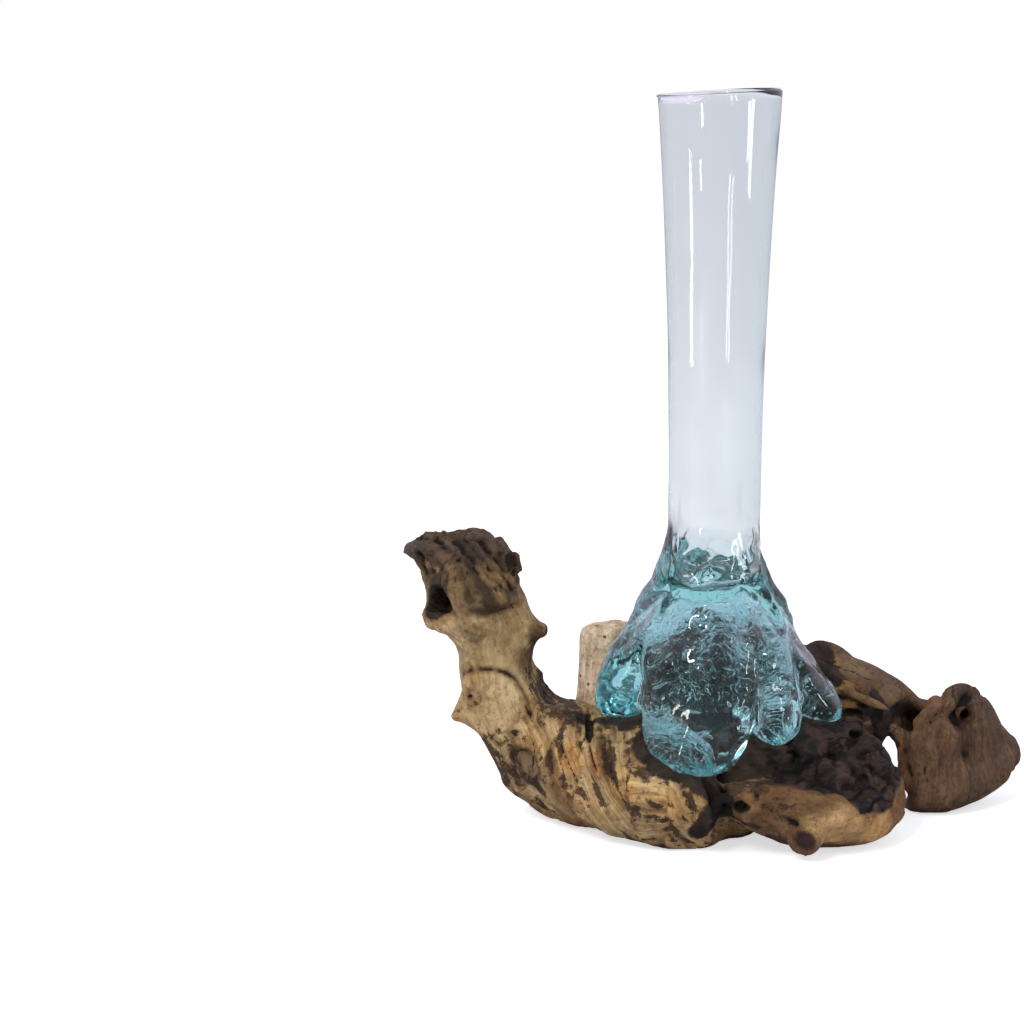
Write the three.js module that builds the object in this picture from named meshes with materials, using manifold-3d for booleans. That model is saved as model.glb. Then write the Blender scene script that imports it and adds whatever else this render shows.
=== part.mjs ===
// A hand-blown glass vase that was slumped, while soft, over a piece of root wood.
// The vase keeps the shape of the wood and lifts straight up off it.
// Millimetres, +Z up. The face seen in the photograph looks towards -Y.

import * as THREE from 'three';
import { ImprovedNoise } from 'three/addons/math/ImprovedNoise.js';
import { MarchingCubes } from 'three/addons/objects/MarchingCubes.js';
import { mergeVertices } from 'three/addons/utils/BufferGeometryUtils.js';
import Module from 'manifold-3d';

// Driving dimensions of the vase.
const vaseHeight = 222;          // from the crown of the wood up to the middle of the rim
const rimDiameter = 52;
const rimSlant = 0.054;          // rise of the rim per millimetre towards +X
const neckDiameter = 39.4;       // outside, at the slimmest place
const neckFlare = 1.9;           // 1 opens the neck evenly up to the rim, more opens it later
const waistHeight = 54;          // where the neck is slimmest, above the crown
const shoulderHeight = 41;       // where the neck starts to spread into the skirt
const wallThickness = 2.2;
const floorThickness = 10;       // solid glass between the crown and the vase's inside
const floorRounding = 9;         // how round the inside is at its bottom
const hemThickness = 19;         // how thick the lobes are
const hemRounding = 6;           // height of the round lower edge of a lobe
const seatGap = 1.1;             // air between the glass and the wood that shaped it
const sides = 56;                // facets round the vase

// The skirt above the lobes, and where it ends between two of them: from the axis and below
// the crown. Slope is how late it spreads on its way down.
const skirtReach = 48;
const skirtSlope = 1.75;
const valleyReach = 38;
const valleyDrop = 33;
const lobeStart = 0.42;          // the lobes come out between these parts of the way down
const lobeEnd = 0.8;
const bellySwell = 2.6;          // how much the front lobes stand out half way down
const bellyPinch = 1.6;          // and how much the glass above them draws in
const bellyWidth = 38;           // degrees to each side of the front

// The lobes that ran down round the wood: direction and half width in degrees (0 is +X, 270 is
// the front), reach from the axis, how far below the crown each hangs, and its slope.
const lobes = [
  { angle: 256, halfWidth: 36, reach: 51, drop: 62, slope: 1.3, blunt: 0.42 },
  { angle: 310, halfWidth: 19, reach: 48, drop: 51, slope: 1.6, blunt: 0.6 },
  { angle: 352, halfWidth: 23, reach: 56, drop: 49, slope: 2.4, blunt: 0.7 },
  { angle: 42, halfWidth: 27, reach: 46, drop: 43, slope: 1.7, blunt: 0.55 },
  { angle: 97, halfWidth: 29, reach: 45, drop: 56, slope: 1.4, blunt: 0.5 },
  { angle: 150, halfWidth: 24, reach: 45, drop: 42, slope: 1.8, blunt: 0.6 },
  { angle: 197, halfWidth: 23, reach: 53, drop: 43, slope: 1.75, blunt: 0.6 },
];

// Driving dimensions of the wood.
const crownHeight = 96;          // top of the knuckle that carries the vase
const knuckleDiameter = 60;
const trunkDiameter = 53;
const stubHeight = 83;           // sawn top of the pale stub behind the vase
const trunkEnd = 4;              // sawn right end of the trunk, along X
const meltRadius = 7;            // how softly one limb runs into the next
const barkRoughness = 2.1;       // swelling and sinking of a limb of rough 1
const swellLength = 21;          // from one swelling to the next
const rotDepth = 3.4;            // how far rot has eaten between the lumps that it left
const rotLength = 12.5;          // from one such lump to the next

// A small side root, sawn off and hollow with rot, that points forward out of the front root.
const sideRootDiameter = 14.5;
const sideRootFlare = 1.25;      // how much wider it is where it leaves the front root
const sideRootBore = 7.5;
const sideRootBoreDepth = 9;
const sideRootEnd = new THREE.Vector3(38.5, -51, 9);
const sideRootStart = new THREE.Vector3(46, -32, 15);

// The axis of the vase, over the crown.
const axis = new THREE.Vector2(3.6, 1);

// Resolution of the sculpted wood.
const cell = 5.2;
const rootCells = 64;
const rootMiddle = [8, 4, 64];
const mouldCells = 32;
const mostTriangles = 40000;

const knuckleRadius = knuckleDiameter / 2;
const trunkRadius = trunkDiameter / 2;
const crownRadius = 24;

// Each limb is a soft tube through points of x, y, z and radius.
// Flutes are the ridges that run along it, rough is how rotten it is.
const limbs = [
  {
    name: 'trunk',
    points: [
      [-68, 17, 27, trunkRadius - 6],
      [-57, 10, trunkRadius - 1, trunkRadius - 2.5],
      [-38, -4, trunkRadius - 1, trunkRadius - 0.5],
      [-18, -19, trunkRadius - 1, trunkRadius],
      [2, -21, trunkRadius - 2, trunkRadius - 1],
      [12, -20, trunkRadius - 2, trunkRadius - 3],
    ],
    flutes: 5, fluteDepth: 1.8, twist: 0.035, rough: 1,
    saw: { normal: [1, -0.12, 0.1], at: trunkEnd + 4 },
  },
  {
    name: 'arm',
    points: [
      [-58, 10, 28, 22],
      [-77, 15, 43.5, 20.5],
      [-89, 16, 60, 17.5],
      [-91, 15, 77, 16.5],
      [-95, 14, 93, 19],
      [-101, 13, 107, 20],
      [-110, 12, 117.5, 12.5],
      [-122, 11, 122, 7.5],
      [-130, 11, 122.5, 3],
    ],
    flutes: 4, fluteDepth: 1.5, twist: 0.02, rough: 1,
  },
  { name: 'brow', points: [[-101, 13, 113, 12], [-92, 13, 115, 9], [-86, 13, 114, 6.5]], rough: 1.2 },
  { name: 'lip', points: [[-100, 12, 91, 11], [-111, 8, 91, 6.5], [-118, 5, 92.5, 4.6]], rough: 0.5 },
  { name: 'arm_knob', points: [[-80, 13, 85, 7], [-73, 12, 86, 4.6]], rough: 0.5 },
  { name: 'shin_knob', points: [[-99, 14, 49, 9], [-107, 12, 47.5, 4.6]], rough: 0.5 },
  {
    name: 'stub',
    points: [[-44, 26, 18, 15], [-42, 33, 40, 12.5], [-41, 35, 66, 11.5], [-41, 35, 96, 11]],
    flutes: 3, fluteDepth: 0.6, twist: 0, rough: 0.3,
    saw: { normal: [-0.05, 0, 1], at: stubHeight + 2 },
  },
  {
    name: 'knuckle',
    points: [
      [2, 7, 16, knuckleRadius],
      [3, 5, 44, knuckleRadius],
      [axis.x, axis.y, crownHeight - crownRadius, crownRadius],
    ],
    flutes: 6, fluteDepth: 1.6, twist: 0.02, rough: 0.9,
  },
  { name: 'heel', points: [[-14, 22, 20, 20], [-30, 34, 16, 17], [-46, 40, 14, 12]], rough: 1 },
  {
    name: 'front_root',
    points: [
      [2, -37, 23, 4.6],
      [10, -39, 23, 8],
      [25, -38, 22.5, 11.5],
      [43, -34, 18, 16.5],
      [60, -25, 17, 18],
      [73, -11, 18, 15],
    ],
    flutes: 3, fluteDepth: 1.4, twist: 0.03, rough: 0.8,
  },
  {
    name: 'rotten_mass',
    points: [[26, -10, 28, 22], [46, -11, 31, 22], [64, -8, 30, 16]],
    flutes: 7, fluteDepth: 1.8, twist: 0.05, rough: 2.2, rotten: 1,
  },
  {
    name: 'back_limb',
    points: [
      [14, 14, 60, 20],
      [40, 26, 58, 18.5],
      [62, 31, 51.5, 17.5],
      [80, 33, 43.5, 15.5],
      [95, 34, 36.5, 12.5],
      [108, 36, 34, 11],
    ],
    flutes: 4, fluteDepth: 1.5, twist: 0.03, rough: 1.1,
  },
  {
    name: 'fin_face',
    points: [[97, 26, 10.5, 12], [112, 28, 12.5, 14], [128, 38, 15, 12], [141, 49, 19, 7.5]],
    flutes: 3, fluteDepth: 0.8, twist: 0, rough: 0.6,
  },
  {
    name: 'fin_crest',
    points: [[93, 27, 28, 9], [108, 31, 34, 13], [119, 37, 37, 14], [128, 43, 31, 10.5], [137, 49, 22, 7]],
    flutes: 3, fluteDepth: 0.8, twist: 0, rough: 0.6,
  },
];

// Hollows are soft tubes too, taken away from the wood.
const hollows = [
  { name: 'jaw_hollow', points: [[-116, -6, 99, 6], [-113, 3, 99, 5.5], [-106, 12, 98, 4]] },
  { name: 'tunnel', points: [[86, 12, 46, 6], [93, 24, 43, 6.2], [103, 37, 29.3, 6.8], [112, 52, 25.5, 9.4]] },
  { name: 'fin_scoop', points: [[84, 44, 8, 12], [104, 48, 12, 12], [124, 58, 18, 12], [146, 70, 24, 12]] },
  { name: 'curl_hollow', points: [[114, 18, 43, 3.6], [117, 28, 42.5, 3.6], [121, 38, 42, 3]] },
  { name: 'crevice', points: [[10, -58, 8, 7], [9, -40, 8, 7], [10, -24, 10, 6]] },
  { name: 'fin_gap', points: [[86, -6, 4, 8], [86, 20, 6, 8.5], [85, 60, 6, 10]] },
  { name: 'arch', points: [[-36, 62, 2, 13], [-4, 52, 2, 15], [40, 44, 4, 17], [72, 40, 6, 15]] },
];

// Pits are stretched balls taken away from the wood: their radii, and where the third one points.
const pits = [
  { name: 'rot_hole', middle: [53, -29.6, 41.5], radii: [4.8, 3.2, 7], along: [0.1, 0.75, -0.6] },
  { name: 'rot_eye', middle: [66, -14.6, 45.5], radii: [4.6, 3.6, 6.5], along: [-0.2, 0.7, -0.6] },
  { name: 'rot_split', middle: [36, -29, 42], radii: [2.4, 8, 5], along: [0, 0.5, -0.85] },
  { name: 'rot_dip', middle: [38, -8, 52.5], radii: [8, 5.5, 5], along: [0.1, -0.2, 1] },
  { name: 'rot_shelf', middle: [55, -2, 50], radii: [7, 5, 5], along: [0.1, -0.2, 1] },
  { name: 'nub_hole', middle: [13.3, -46.4, 23.6], radii: [3.6, 2.3, 5.5], along: [0.1, 1, 0.1] },
  { name: 'trunk_split', middle: [6, -47, 27], radii: [2.3, 9, 11], along: [-0.25, 0.1, 1] },
  { name: 'limb_pocket', middle: [66, 12.9, 46.5], radii: [5, 2.6, 5.5], along: [0.2, 0.9, 0.3] },
  { name: 'seam', middle: [-49.5, -10, 46.5], radii: [1.6, 4, 12], along: [0, -0.95, -0.2] },
];

const wasm = await Module();
wasm.setup();

// Joining and cutting work on closed meshes whose shared corners are merged.
function toSolid(geometry) {
  const bare = geometry.index ? geometry.toNonIndexed() : geometry.clone();
  for (const name of Object.keys(bare.attributes)) {
    if (name !== 'position') bare.deleteAttribute(name);
  }
  const merged = mergeVertices(bare, 1e-4);
  const mesh = new wasm.Mesh({
    numProp: 3,
    vertProperties: new Float32Array(merged.attributes.position.array),
    triVerts: new Uint32Array(merged.index.array),
  });
  return new wasm.Manifold(mesh);
}

function toGeometry(solid) {
  const mesh = solid.getMesh();
  const geometry = new THREE.BufferGeometry();
  geometry.setAttribute('position', new THREE.BufferAttribute(new Float32Array(mesh.vertProperties), 3));
  geometry.setIndex(new THREE.BufferAttribute(new Uint32Array(mesh.triVerts), 1));
  geometry.computeVertexNormals();
  return geometry;
}

// A limb is sampled into short cones that the field below measures from.
function prepare(limb) {
  const path = new THREE.CatmullRomCurve3(limb.points.map(([x, y, z]) => new THREE.Vector3(x, y, z)));
  const girth = new THREE.CatmullRomCurve3(limb.points.map((point) => new THREE.Vector3(point[3], 0, 0)));
  const steps = 4 * (limb.points.length - 1);
  const cones = [];
  let along = 0;
  for (let step = 0; step < steps; step += 1) {
    const start = path.getPoint(step / steps);
    const end = path.getPoint((step + 1) / steps);
    const run = end.clone().sub(start);
    const length = run.length();
    const side = new THREE.Vector3().crossVectors(run, new THREE.Vector3(0, 1, 0)).normalize();
    const up = new THREE.Vector3().crossVectors(side, run).normalize();
    cones.push({
      start, run, length, side, up, along,
      startRadius: girth.getPoint(step / steps).x,
      endRadius: girth.getPoint((step + 1) / steps).x,
    });
    along += length;
  }
  const reach = Math.max(...limb.points.map((point) => point[3]));
  const box = new THREE.Box3().setFromPoints(cones.map((cone) => cone.start));
  box.expandByPoint(path.getPoint(1));
  return { ...limb, cones, box: box.expandByScalar(reach) };
}

const grain = new ImprovedNoise();
const grainPlace = new THREE.Vector3(7, 3, 5);
const farAway = -20;             // value of the field well outside the wood

// How deep a point lies inside a limb, below zero outside it.
function depthInLimb(limb, point) {
  if (limb.box.distanceToPoint(point) > -farAway) return farAway;
  let deepest = -Infinity;
  const offset = new THREE.Vector3();
  for (const cone of limb.cones) {
    offset.subVectors(point, cone.start);
    const part = THREE.MathUtils.clamp(offset.dot(cone.run) / (cone.length * cone.length), 0, 1);
    offset.addScaledVector(cone.run, -part);
    const distance = offset.length();
    const radius = THREE.MathUtils.lerp(cone.startRadius, cone.endRadius, part);
    let depth = radius - distance;
    if (limb.flutes) {
      const turn = Math.atan2(offset.dot(cone.up), offset.dot(cone.side));
      const phase = limb.twist * (cone.along + part * cone.length) * Math.PI;
      const ridge = limb.fluteDepth * Math.cos(limb.flutes * turn + phase);
      depth += ridge * Math.min(1, distance / radius);
    }
    deepest = Math.max(deepest, depth);
  }
  if (limb.rough) {
    const place = point.clone().divideScalar(swellLength).add(grainPlace);
    deepest += limb.rough * barkRoughness * grain.noise(place.x, place.y, place.z);
  }
  if (limb.rotten) {
    const place = point.clone().divideScalar(rotLength).add(grainPlace);
    deepest += limb.rotten * rotDepth * grain.noise(place.x, place.y, place.z);
  }
  if (limb.saw) {
    const normal = new THREE.Vector3(...limb.saw.normal).normalize();
    deepest = Math.min(deepest, limb.saw.at - normal.dot(point));
  }
  return Math.max(deepest, farAway);
}

// Two values melt into each other where they are alike.
function melt(first, second, radius) {
  const blend = Math.max(radius - Math.abs(first - second), 0) / radius;
  return Math.max(first, second) + blend * blend * radius / 4;
}

const woodLimbs = limbs.map(prepare);
const woodHollows = hollows.map(prepare);
const hollowEdge = 2.5;          // rounding where a hollow opens

function depthInWood(point) {
  let depth = farAway;
  for (const limb of woodLimbs) depth = melt(depth, depthInLimb(limb, point), meltRadius);
  for (const hollow of woodHollows) depth = -melt(-depth, depthInLimb(hollow, point), hollowEdge);
  return depth;
}

// Samples a field on a cube of cells and returns the surface where it is zero, closed at
// the cube's edge. With shadow set, the solid also fills everything below it.
function sculpt(field, corner, count, { shadow = false, grow = 0, top }) {
  const cubes = new MarchingCubes(count, new THREE.MeshStandardMaterial(), false, false, mostTriangles);
  const leastValue = 0.1 * cell;
  const margin = 2;
  const point = new THREE.Vector3();
  cubes.isolation = 0;
  for (let j = 0; j < count; j += 1) {
    for (let i = 0; i < count; i += 1) {
      let above = farAway;
      for (let k = count - 1; k >= 0; k -= 1) {
        point.set(corner.x + i * cell, corner.y + j * cell, corner.z + k * cell);
        let value = point.z > top ? farAway : field(point);
        if (shadow) value = Math.max(value, above);
        above = value;
        value += grow;
        if (Math.min(i, j, k) < margin || Math.max(i, j, k) > count - 2 * margin) value = farAway;
        if (Math.abs(value) < leastValue) value = value < 0 ? -leastValue : leastValue;
        cubes.setCell(i, j, k, value);
      }
    }
  }
  cubes.update();
  const used = cubes.geometry.attributes.position.array.slice(0, cubes.count * 3);
  const geometry = new THREE.BufferGeometry();
  geometry.setAttribute('position', new THREE.BufferAttribute(used, 3));
  const half = count * cell / 2;
  geometry.scale(half, half, half);
  geometry.translate(corner.x + half, corner.y + half, corner.z + half);
  return toSolid(geometry);
}

// A cube of the grid that has its middle near the given point, on the shared grid lines.
function gridCorner(middle, count) {
  return middle.map((value) => Math.round(value / cell - count / 2) * cell);
}

// A round bar from one point towards another, wider at its start where flare is over 1.
function roundBar(start, end, diameter, flare = 1) {
  const length = start.distanceTo(end);
  const facets = 16;
  const bar = new THREE.CylinderGeometry(diameter / 2, diameter / 2 * flare, length, facets);
  const turn = new THREE.Quaternion();
  turn.setFromUnitVectors(new THREE.Vector3(0, 1, 0), end.clone().sub(start).normalize());
  bar.applyQuaternion(turn);
  const centre = start.clone().add(end).multiplyScalar(0.5);
  return toSolid(bar.translate(centre.x, centre.y, centre.z));
}

function pitSolid({ middle, radii, along }) {
  const ball = new THREE.IcosahedronGeometry(1, 1).scale(...radii);
  const turn = new THREE.Quaternion();
  turn.setFromUnitVectors(new THREE.Vector3(0, 0, 1), new THREE.Vector3(...along).normalize());
  return toSolid(ball.applyQuaternion(turn).translate(...middle));
}

// The wood, with its sawn side root, cut flat where it stands.
function buildRoot() {
  const corner = new THREE.Vector3(...gridCorner(rootMiddle, rootCells));
  const size = rootCells * cell;
  const grown = sculpt(depthInWood, corner, rootCells, { top: corner.z + size });
  const sideRoot = roundBar(sideRootStart, sideRootEnd, sideRootDiameter, sideRootFlare);
  const inward = sideRootStart.clone().sub(sideRootEnd).normalize();
  const boreStart = sideRootEnd.clone().addScaledVector(inward, sideRootBoreDepth);
  const boreEnd = sideRootEnd.clone().addScaledVector(inward, -1);
  const bore = roundBar(boreStart, boreEnd, sideRootBore);
  const floor = new THREE.BoxGeometry(size, size, size).translate(0, 0, -size / 2);
  let root = grown.add(sideRoot).subtract(bore).subtract(toSolid(floor));
  for (const pit of pits) root = root.subtract(pitSolid(pit));
  return root;
}

// The space that the wood takes from the glass: its own shape, the seat's gap, and all below it.
function buildMould() {
  const corner = new THREE.Vector3(...gridCorner([axis.x, axis.y, crownHeight / 2], mouldCells));
  return sculpt(depthInWood, corner, mouldCells, { shadow: true, grow: seatGap, top: crownHeight + 12 });
}

// Outside radius of the neck at a height above the crown.
function neckRadius(height) {
  const rise = Math.max(0, (height - waistHeight) / (vaseHeight - waistHeight));
  return neckDiameter / 2 + (rimDiameter - neckDiameter) / 2 * rise ** neckFlare;
}

// 0 outside two limits, 1 between two others that lie inside them.
function hump(value, start, full, fall, end) {
  return THREE.MathUtils.smoothstep(value, start, full) * (1 - THREE.MathUtils.smoothstep(value, fall, end));
}

// Reach, drop and slope of the skirt in one direction, and how much it faces the front.
function hem(degrees) {
  const front = 270;
  const fading = 34;
  const turned = Math.abs(((degrees - front + 540) % 360) - 180);
  const facing = 1 - THREE.MathUtils.smoothstep(turned, bellyWidth, bellyWidth + fading);
  const edge = { reach: valleyReach, drop: valleyDrop - hemRounding, slope: skirtSlope, facing };
  for (const lobe of lobes) {
    const away = Math.abs(((degrees - lobe.angle + 540) % 360) - 180) / lobe.halfWidth;
    if (away >= 1) continue;
    const swell = (1 - away * away) ** lobe.blunt;
    edge.reach = Math.max(edge.reach, THREE.MathUtils.lerp(valleyReach, lobe.reach, swell));
    edge.drop = Math.max(edge.drop, THREE.MathUtils.lerp(valleyDrop, lobe.drop, swell) - hemRounding);
    edge.slope += (lobe.slope - skirtSlope) * swell;
  }
  return edge;
}

// Outside of the skirt: part goes from 0 at the shoulder to 1 at the hem.
function skirtPoint(edge, part) {
  const spread = Math.sin(Math.PI / 2 * part ** edge.slope);
  const lobed = THREE.MathUtils.smoothstep(part, lobeStart, lobeEnd);
  const reach = THREE.MathUtils.lerp(skirtReach, edge.reach, lobed);
  const swell = bellySwell * hump(part, 0.38, 0.6, 0.66, 0.95);
  const pinch = bellyPinch * hump(part, 0.05, 0.28, 0.3, 0.46);
  return {
    radius: THREE.MathUtils.lerp(neckDiameter / 2, reach, spread) + edge.facing * (swell - pinch),
    height: THREE.MathUtils.lerp(shoulderHeight, -edge.drop, part),
  };
}

// One profile of the solid glass, from the rim down the outside and back under the skirt.
function glassProfile(degrees) {
  const edge = hem(degrees);
  const profile = [];
  const neckRows = 8;
  const skirtRows = 10;
  for (let row = 0; row < neckRows; row += 1) {
    const height = THREE.MathUtils.lerp(vaseHeight, shoulderHeight, row / neckRows);
    profile.push({ radius: neckRadius(height), height, slant: rimSlant * (1 - row / neckRows) });
  }
  for (let row = 0; row <= skirtRows; row += 1) profile.push(skirtPoint(edge, row / skirtRows));
  for (let angle = Math.PI / 6; angle < Math.PI - 0.01; angle += Math.PI / 6) {
    profile.push({
      radius: edge.reach - hemThickness / 2 * (1 - Math.cos(angle)),
      height: -edge.drop - hemRounding * Math.sin(angle),
    });
  }
  for (const part of [0.85, 0.6]) {
    const outside = skirtPoint(edge, part);
    profile.push({
      radius: outside.radius - hemThickness,
      height: Math.min(outside.height - hemRounding, -hemThickness),
    });
  }
  return profile;
}

// The solid body of glass, before its inside and its seat are cut.
function buildGlassBody() {
  const rings = [];
  for (let side = 0; side < sides; side += 1) {
    const degrees = 360 * side / sides;
    const turn = THREE.MathUtils.degToRad(degrees);
    rings.push(glassProfile(degrees).map(({ radius, height, slant = 0 }) => [
      axis.x + radius * Math.cos(turn),
      axis.y + radius * Math.sin(turn),
      crownHeight + height + slant * radius * Math.cos(turn),
    ]));
  }
  const rows = rings[0].length;
  const corners = rings.flat(2);
  const top = sides * rows;
  const bottom = top + 1;
  corners.push(axis.x, axis.y, crownHeight + vaseHeight);
  corners.push(axis.x, axis.y, crownHeight - hemThickness);
  const faces = [];
  for (let side = 0; side < sides; side += 1) {
    const here = side * rows;
    const next = ((side + 1) % sides) * rows;
    faces.push(top, here, next);
    for (let row = 0; row < rows - 1; row += 1) {
      faces.push(here + row, here + row + 1, next + row);
      faces.push(next + row, here + row + 1, next + row + 1);
    }
    faces.push(bottom, next + rows - 1, here + rows - 1);
  }
  const geometry = new THREE.BufferGeometry();
  geometry.setAttribute('position', new THREE.BufferAttribute(new Float32Array(corners), 3));
  geometry.setIndex(faces);
  return toSolid(geometry);
}

// The inside of the vase, open past the rim.
function buildInside() {
  const profile = [];
  const boreAtFloor = neckDiameter / 2 - wallThickness;
  for (let step = 0; step <= 4; step += 1) {
    const angle = Math.PI / 2 * step / 4;
    profile.push(new THREE.Vector2(
      step === 0 ? 0 : boreAtFloor - floorRounding * (1 - Math.sin(angle)),
      floorThickness + floorRounding * (1 - Math.cos(angle)),
    ));
  }
  const rows = 7;
  for (let row = 0; row <= rows; row += 1) {
    const height = THREE.MathUtils.lerp(waistHeight, vaseHeight, row / rows);
    profile.push(new THREE.Vector2(neckRadius(height) - wallThickness, height));
  }
  const clear = 10;
  profile.push(new THREE.Vector2(rimDiameter / 2 - wallThickness, vaseHeight + clear));
  profile.push(new THREE.Vector2(0, vaseHeight + clear));
  const lathe = new THREE.LatheGeometry(profile, sides);
  lathe.rotateX(Math.PI / 2);
  lathe.translate(axis.x, axis.y, crownHeight);
  return toSolid(lathe);
}

const root = buildRoot();
const vase = buildGlassBody().subtract(buildInside()).subtract(buildMould());

const woodMaterial = new THREE.MeshStandardMaterial({ color: 0x96774d, roughness: 0.85, metalness: 0 });
const glassMaterial = new THREE.MeshStandardMaterial({
  color: 0x9fd3d6, roughness: 0.05, metalness: 0, transparent: true, opacity: 0.5,
});

const rootStand = new THREE.Mesh(toGeometry(root), woodMaterial);
rootStand.name = 'root_stand';
const glassVase = new THREE.Mesh(toGeometry(vase), glassMaterial);
glassVase.name = 'glass_vase';

// The origin is the middle of the whole thing's outline, on the surface that it stands on.
const group = new THREE.Group();
group.add(rootStand, glassVase);
const outline = new THREE.Box3().setFromObject(group, true);
const middle = outline.getCenter(new THREE.Vector3());
group.position.set(-middle.x, -middle.y, 0);
group.updateMatrixWorld(true);

export default group;
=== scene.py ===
# %% [markdown]
# # A glass vase that was melted over a piece of root wood
#
# The real object has two pieces. A root was dried, cleaned and sawn flat underneath.
# A glass blower then set a hot bottle down on it, and the soft bottom of the bottle
# slumped over the root and took its shape. The vase still lifts off.
#
# This lesson dresses the solid model of that object. It covers the camera and the
# studio first, then the wood, then the glass. All lengths are in metres.

# %% Load the solid model
import math

import bpy
import numpy as np
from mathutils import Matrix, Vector
from mathutils.bvhtree import BVHTree


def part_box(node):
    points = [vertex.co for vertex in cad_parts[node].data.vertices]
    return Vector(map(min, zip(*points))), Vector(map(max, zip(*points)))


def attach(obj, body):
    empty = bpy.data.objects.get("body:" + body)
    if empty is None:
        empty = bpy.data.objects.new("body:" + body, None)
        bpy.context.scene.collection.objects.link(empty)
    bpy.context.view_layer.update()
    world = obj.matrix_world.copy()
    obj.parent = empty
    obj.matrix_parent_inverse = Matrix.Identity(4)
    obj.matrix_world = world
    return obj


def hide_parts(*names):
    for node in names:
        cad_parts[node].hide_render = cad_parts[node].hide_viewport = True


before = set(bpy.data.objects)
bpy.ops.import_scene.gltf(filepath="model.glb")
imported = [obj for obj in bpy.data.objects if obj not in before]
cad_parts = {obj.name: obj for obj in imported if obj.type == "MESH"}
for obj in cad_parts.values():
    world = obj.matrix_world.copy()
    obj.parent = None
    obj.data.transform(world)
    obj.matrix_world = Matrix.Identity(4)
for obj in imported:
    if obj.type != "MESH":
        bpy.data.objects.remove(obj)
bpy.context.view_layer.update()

# %% [markdown]
# ## The camera
#
# The photograph was taken from about 1.1 m away with a long lens, a little above the
# rim's height, looking 10.8 degrees down. The rim shows almost edge on, which fixes the
# camera's height, and the places where the wood meets the table fix the tilt.

# %% Set up the camera
camera_data = bpy.data.cameras.new("camera")
camera_data.lens = 92.0
camera_data.sensor_width = 36.0
camera_data.clip_start = 0.05
camera_data.clip_end = 200.0
camera = bpy.data.objects.new("camera", camera_data)
camera.location = (-0.09166, -1.10037, 0.350)
camera.rotation_euler = (math.radians(79.2), 0.0, 0.0)
bpy.context.scene.collection.objects.link(camera)
bpy.context.scene.camera = camera
bpy.context.scene.view_settings.view_transform = "Standard"
print("camera at", tuple(camera.location))

# %% [markdown]
# ## The studio
#
# The object stands on white paper that was lit until it turned pure white in the
# picture, with only a soft shadow left next to the wood. Glass is mostly seen by what
# it bends and mirrors, so the paper must also be there for the rays that go through
# the glass. There it is the pale lavender grey that the real paper has. Rays that the
# glass throws back once meet the darker room in front of the object instead, and the
# paper close to the object is darker for them too. They draw the dark lines in the
# glass, so that it doesn't look like milk.
#
# The world gives most of the light. A large soft box from the upper left models the
# wood, two slim, tall boxes draw the upright streaks on the neck of the vase, and two
# small ones put glints on its shoulder.

# %% Short names for what is done most in a node tree
MULTIPLY, ADD, SUBTRACT = "MULTIPLY", "ADD", "SUBTRACT"


class Nodes:
    def __init__(self, tree):
        self.tree = tree

    def add(self, kind, **settings):
        made = self.tree.nodes.new("ShaderNode" + kind)
        for name, value in settings.items():
            setattr(made, name, value)
        return made

    def fill(self, sockets, values):
        """Gives each socket a number, a colour or what another socket puts out."""
        for socket, value in zip(sockets, values):
            if isinstance(value, bpy.types.NodeSocket):
                self.tree.links.new(value, socket)
            elif isinstance(value, (int, float)):
                socket.default_value = value
            else:
                socket.default_value = (*value[:3], 1.0)

    def maths(self, operation, *values, **settings):
        made = self.add("Math", operation=operation, **settings)
        self.fill(made.inputs, values)
        return made.outputs[0]

    def mapped(self, value, low, high, to_low=0.0, to_high=1.0):
        made = self.add("MapRange", interpolation_type="SMOOTHSTEP")
        names = ("Value", "From Min", "From Max", "To Min", "To Max")
        self.fill([made.inputs[name] for name in names], (value, low, high, to_low, to_high))
        return made.outputs["Result"]

    def mixed(self, factor, first, second, blend="MIX"):
        made = self.add("Mix", data_type="RGBA", blend_type=blend)
        self.fill([made.inputs[k] for k in (0, 6, 7)], (factor, first, second))
        return made.outputs[2]

    def speckle(self, vector, scale, detail, roughness=0.6, distortion=0.0):
        made = self.add("TexNoise")
        names = ("Vector", "Scale", "Detail", "Roughness", "Distortion")
        self.fill([made.inputs[name] for name in names], (vector, scale, detail, roughness, distortion))
        return made.outputs["Fac"]

    def thrown_back(self, path):
        """1 for a ray that was mirrored once on its way, else 0."""
        return self.maths("COMPARE", path["Glossy Depth"], 1.0, 0.5)


# %% Light the world
paper_grey = (0.90, 0.81, 0.99)
room_dark = (0.10, 0.10, 0.11)
room_share = 0.2

world = bpy.data.worlds.new("studio_world")
bpy.context.scene.world = world
world.use_nodes = True
world.node_tree.nodes.clear()
nodes = Nodes(world.node_tree)


def background(colour, strength=1.0):
    made = nodes.add("Background")
    nodes.fill(made.inputs, (colour, strength))
    return made.outputs[0]


def either(choice, if_no, if_yes):
    made = nodes.add("MixShader")
    nodes.fill(made.inputs, (choice, if_no, if_yes))
    return made.outputs[0]


print("world:", world.name)

# %% The room mirrors darker in front of the object than the paper does behind it
path = nodes.add("LightPath").outputs
axes = nodes.add("SeparateXYZ")
nodes.fill(axes.inputs, [nodes.add("TexCoord").outputs["Generated"]])
back_and_up = nodes.maths("MULTIPLY_ADD", axes.outputs["Z"], 0.6, axes.outputs["Y"])
room = background(nodes.mixed(nodes.mapped(back_and_up, -0.5, 0.6), room_dark, paper_grey))
print("the room is", round(paper_grey[0] / room_dark[0], 1), "times darker in front")

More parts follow.
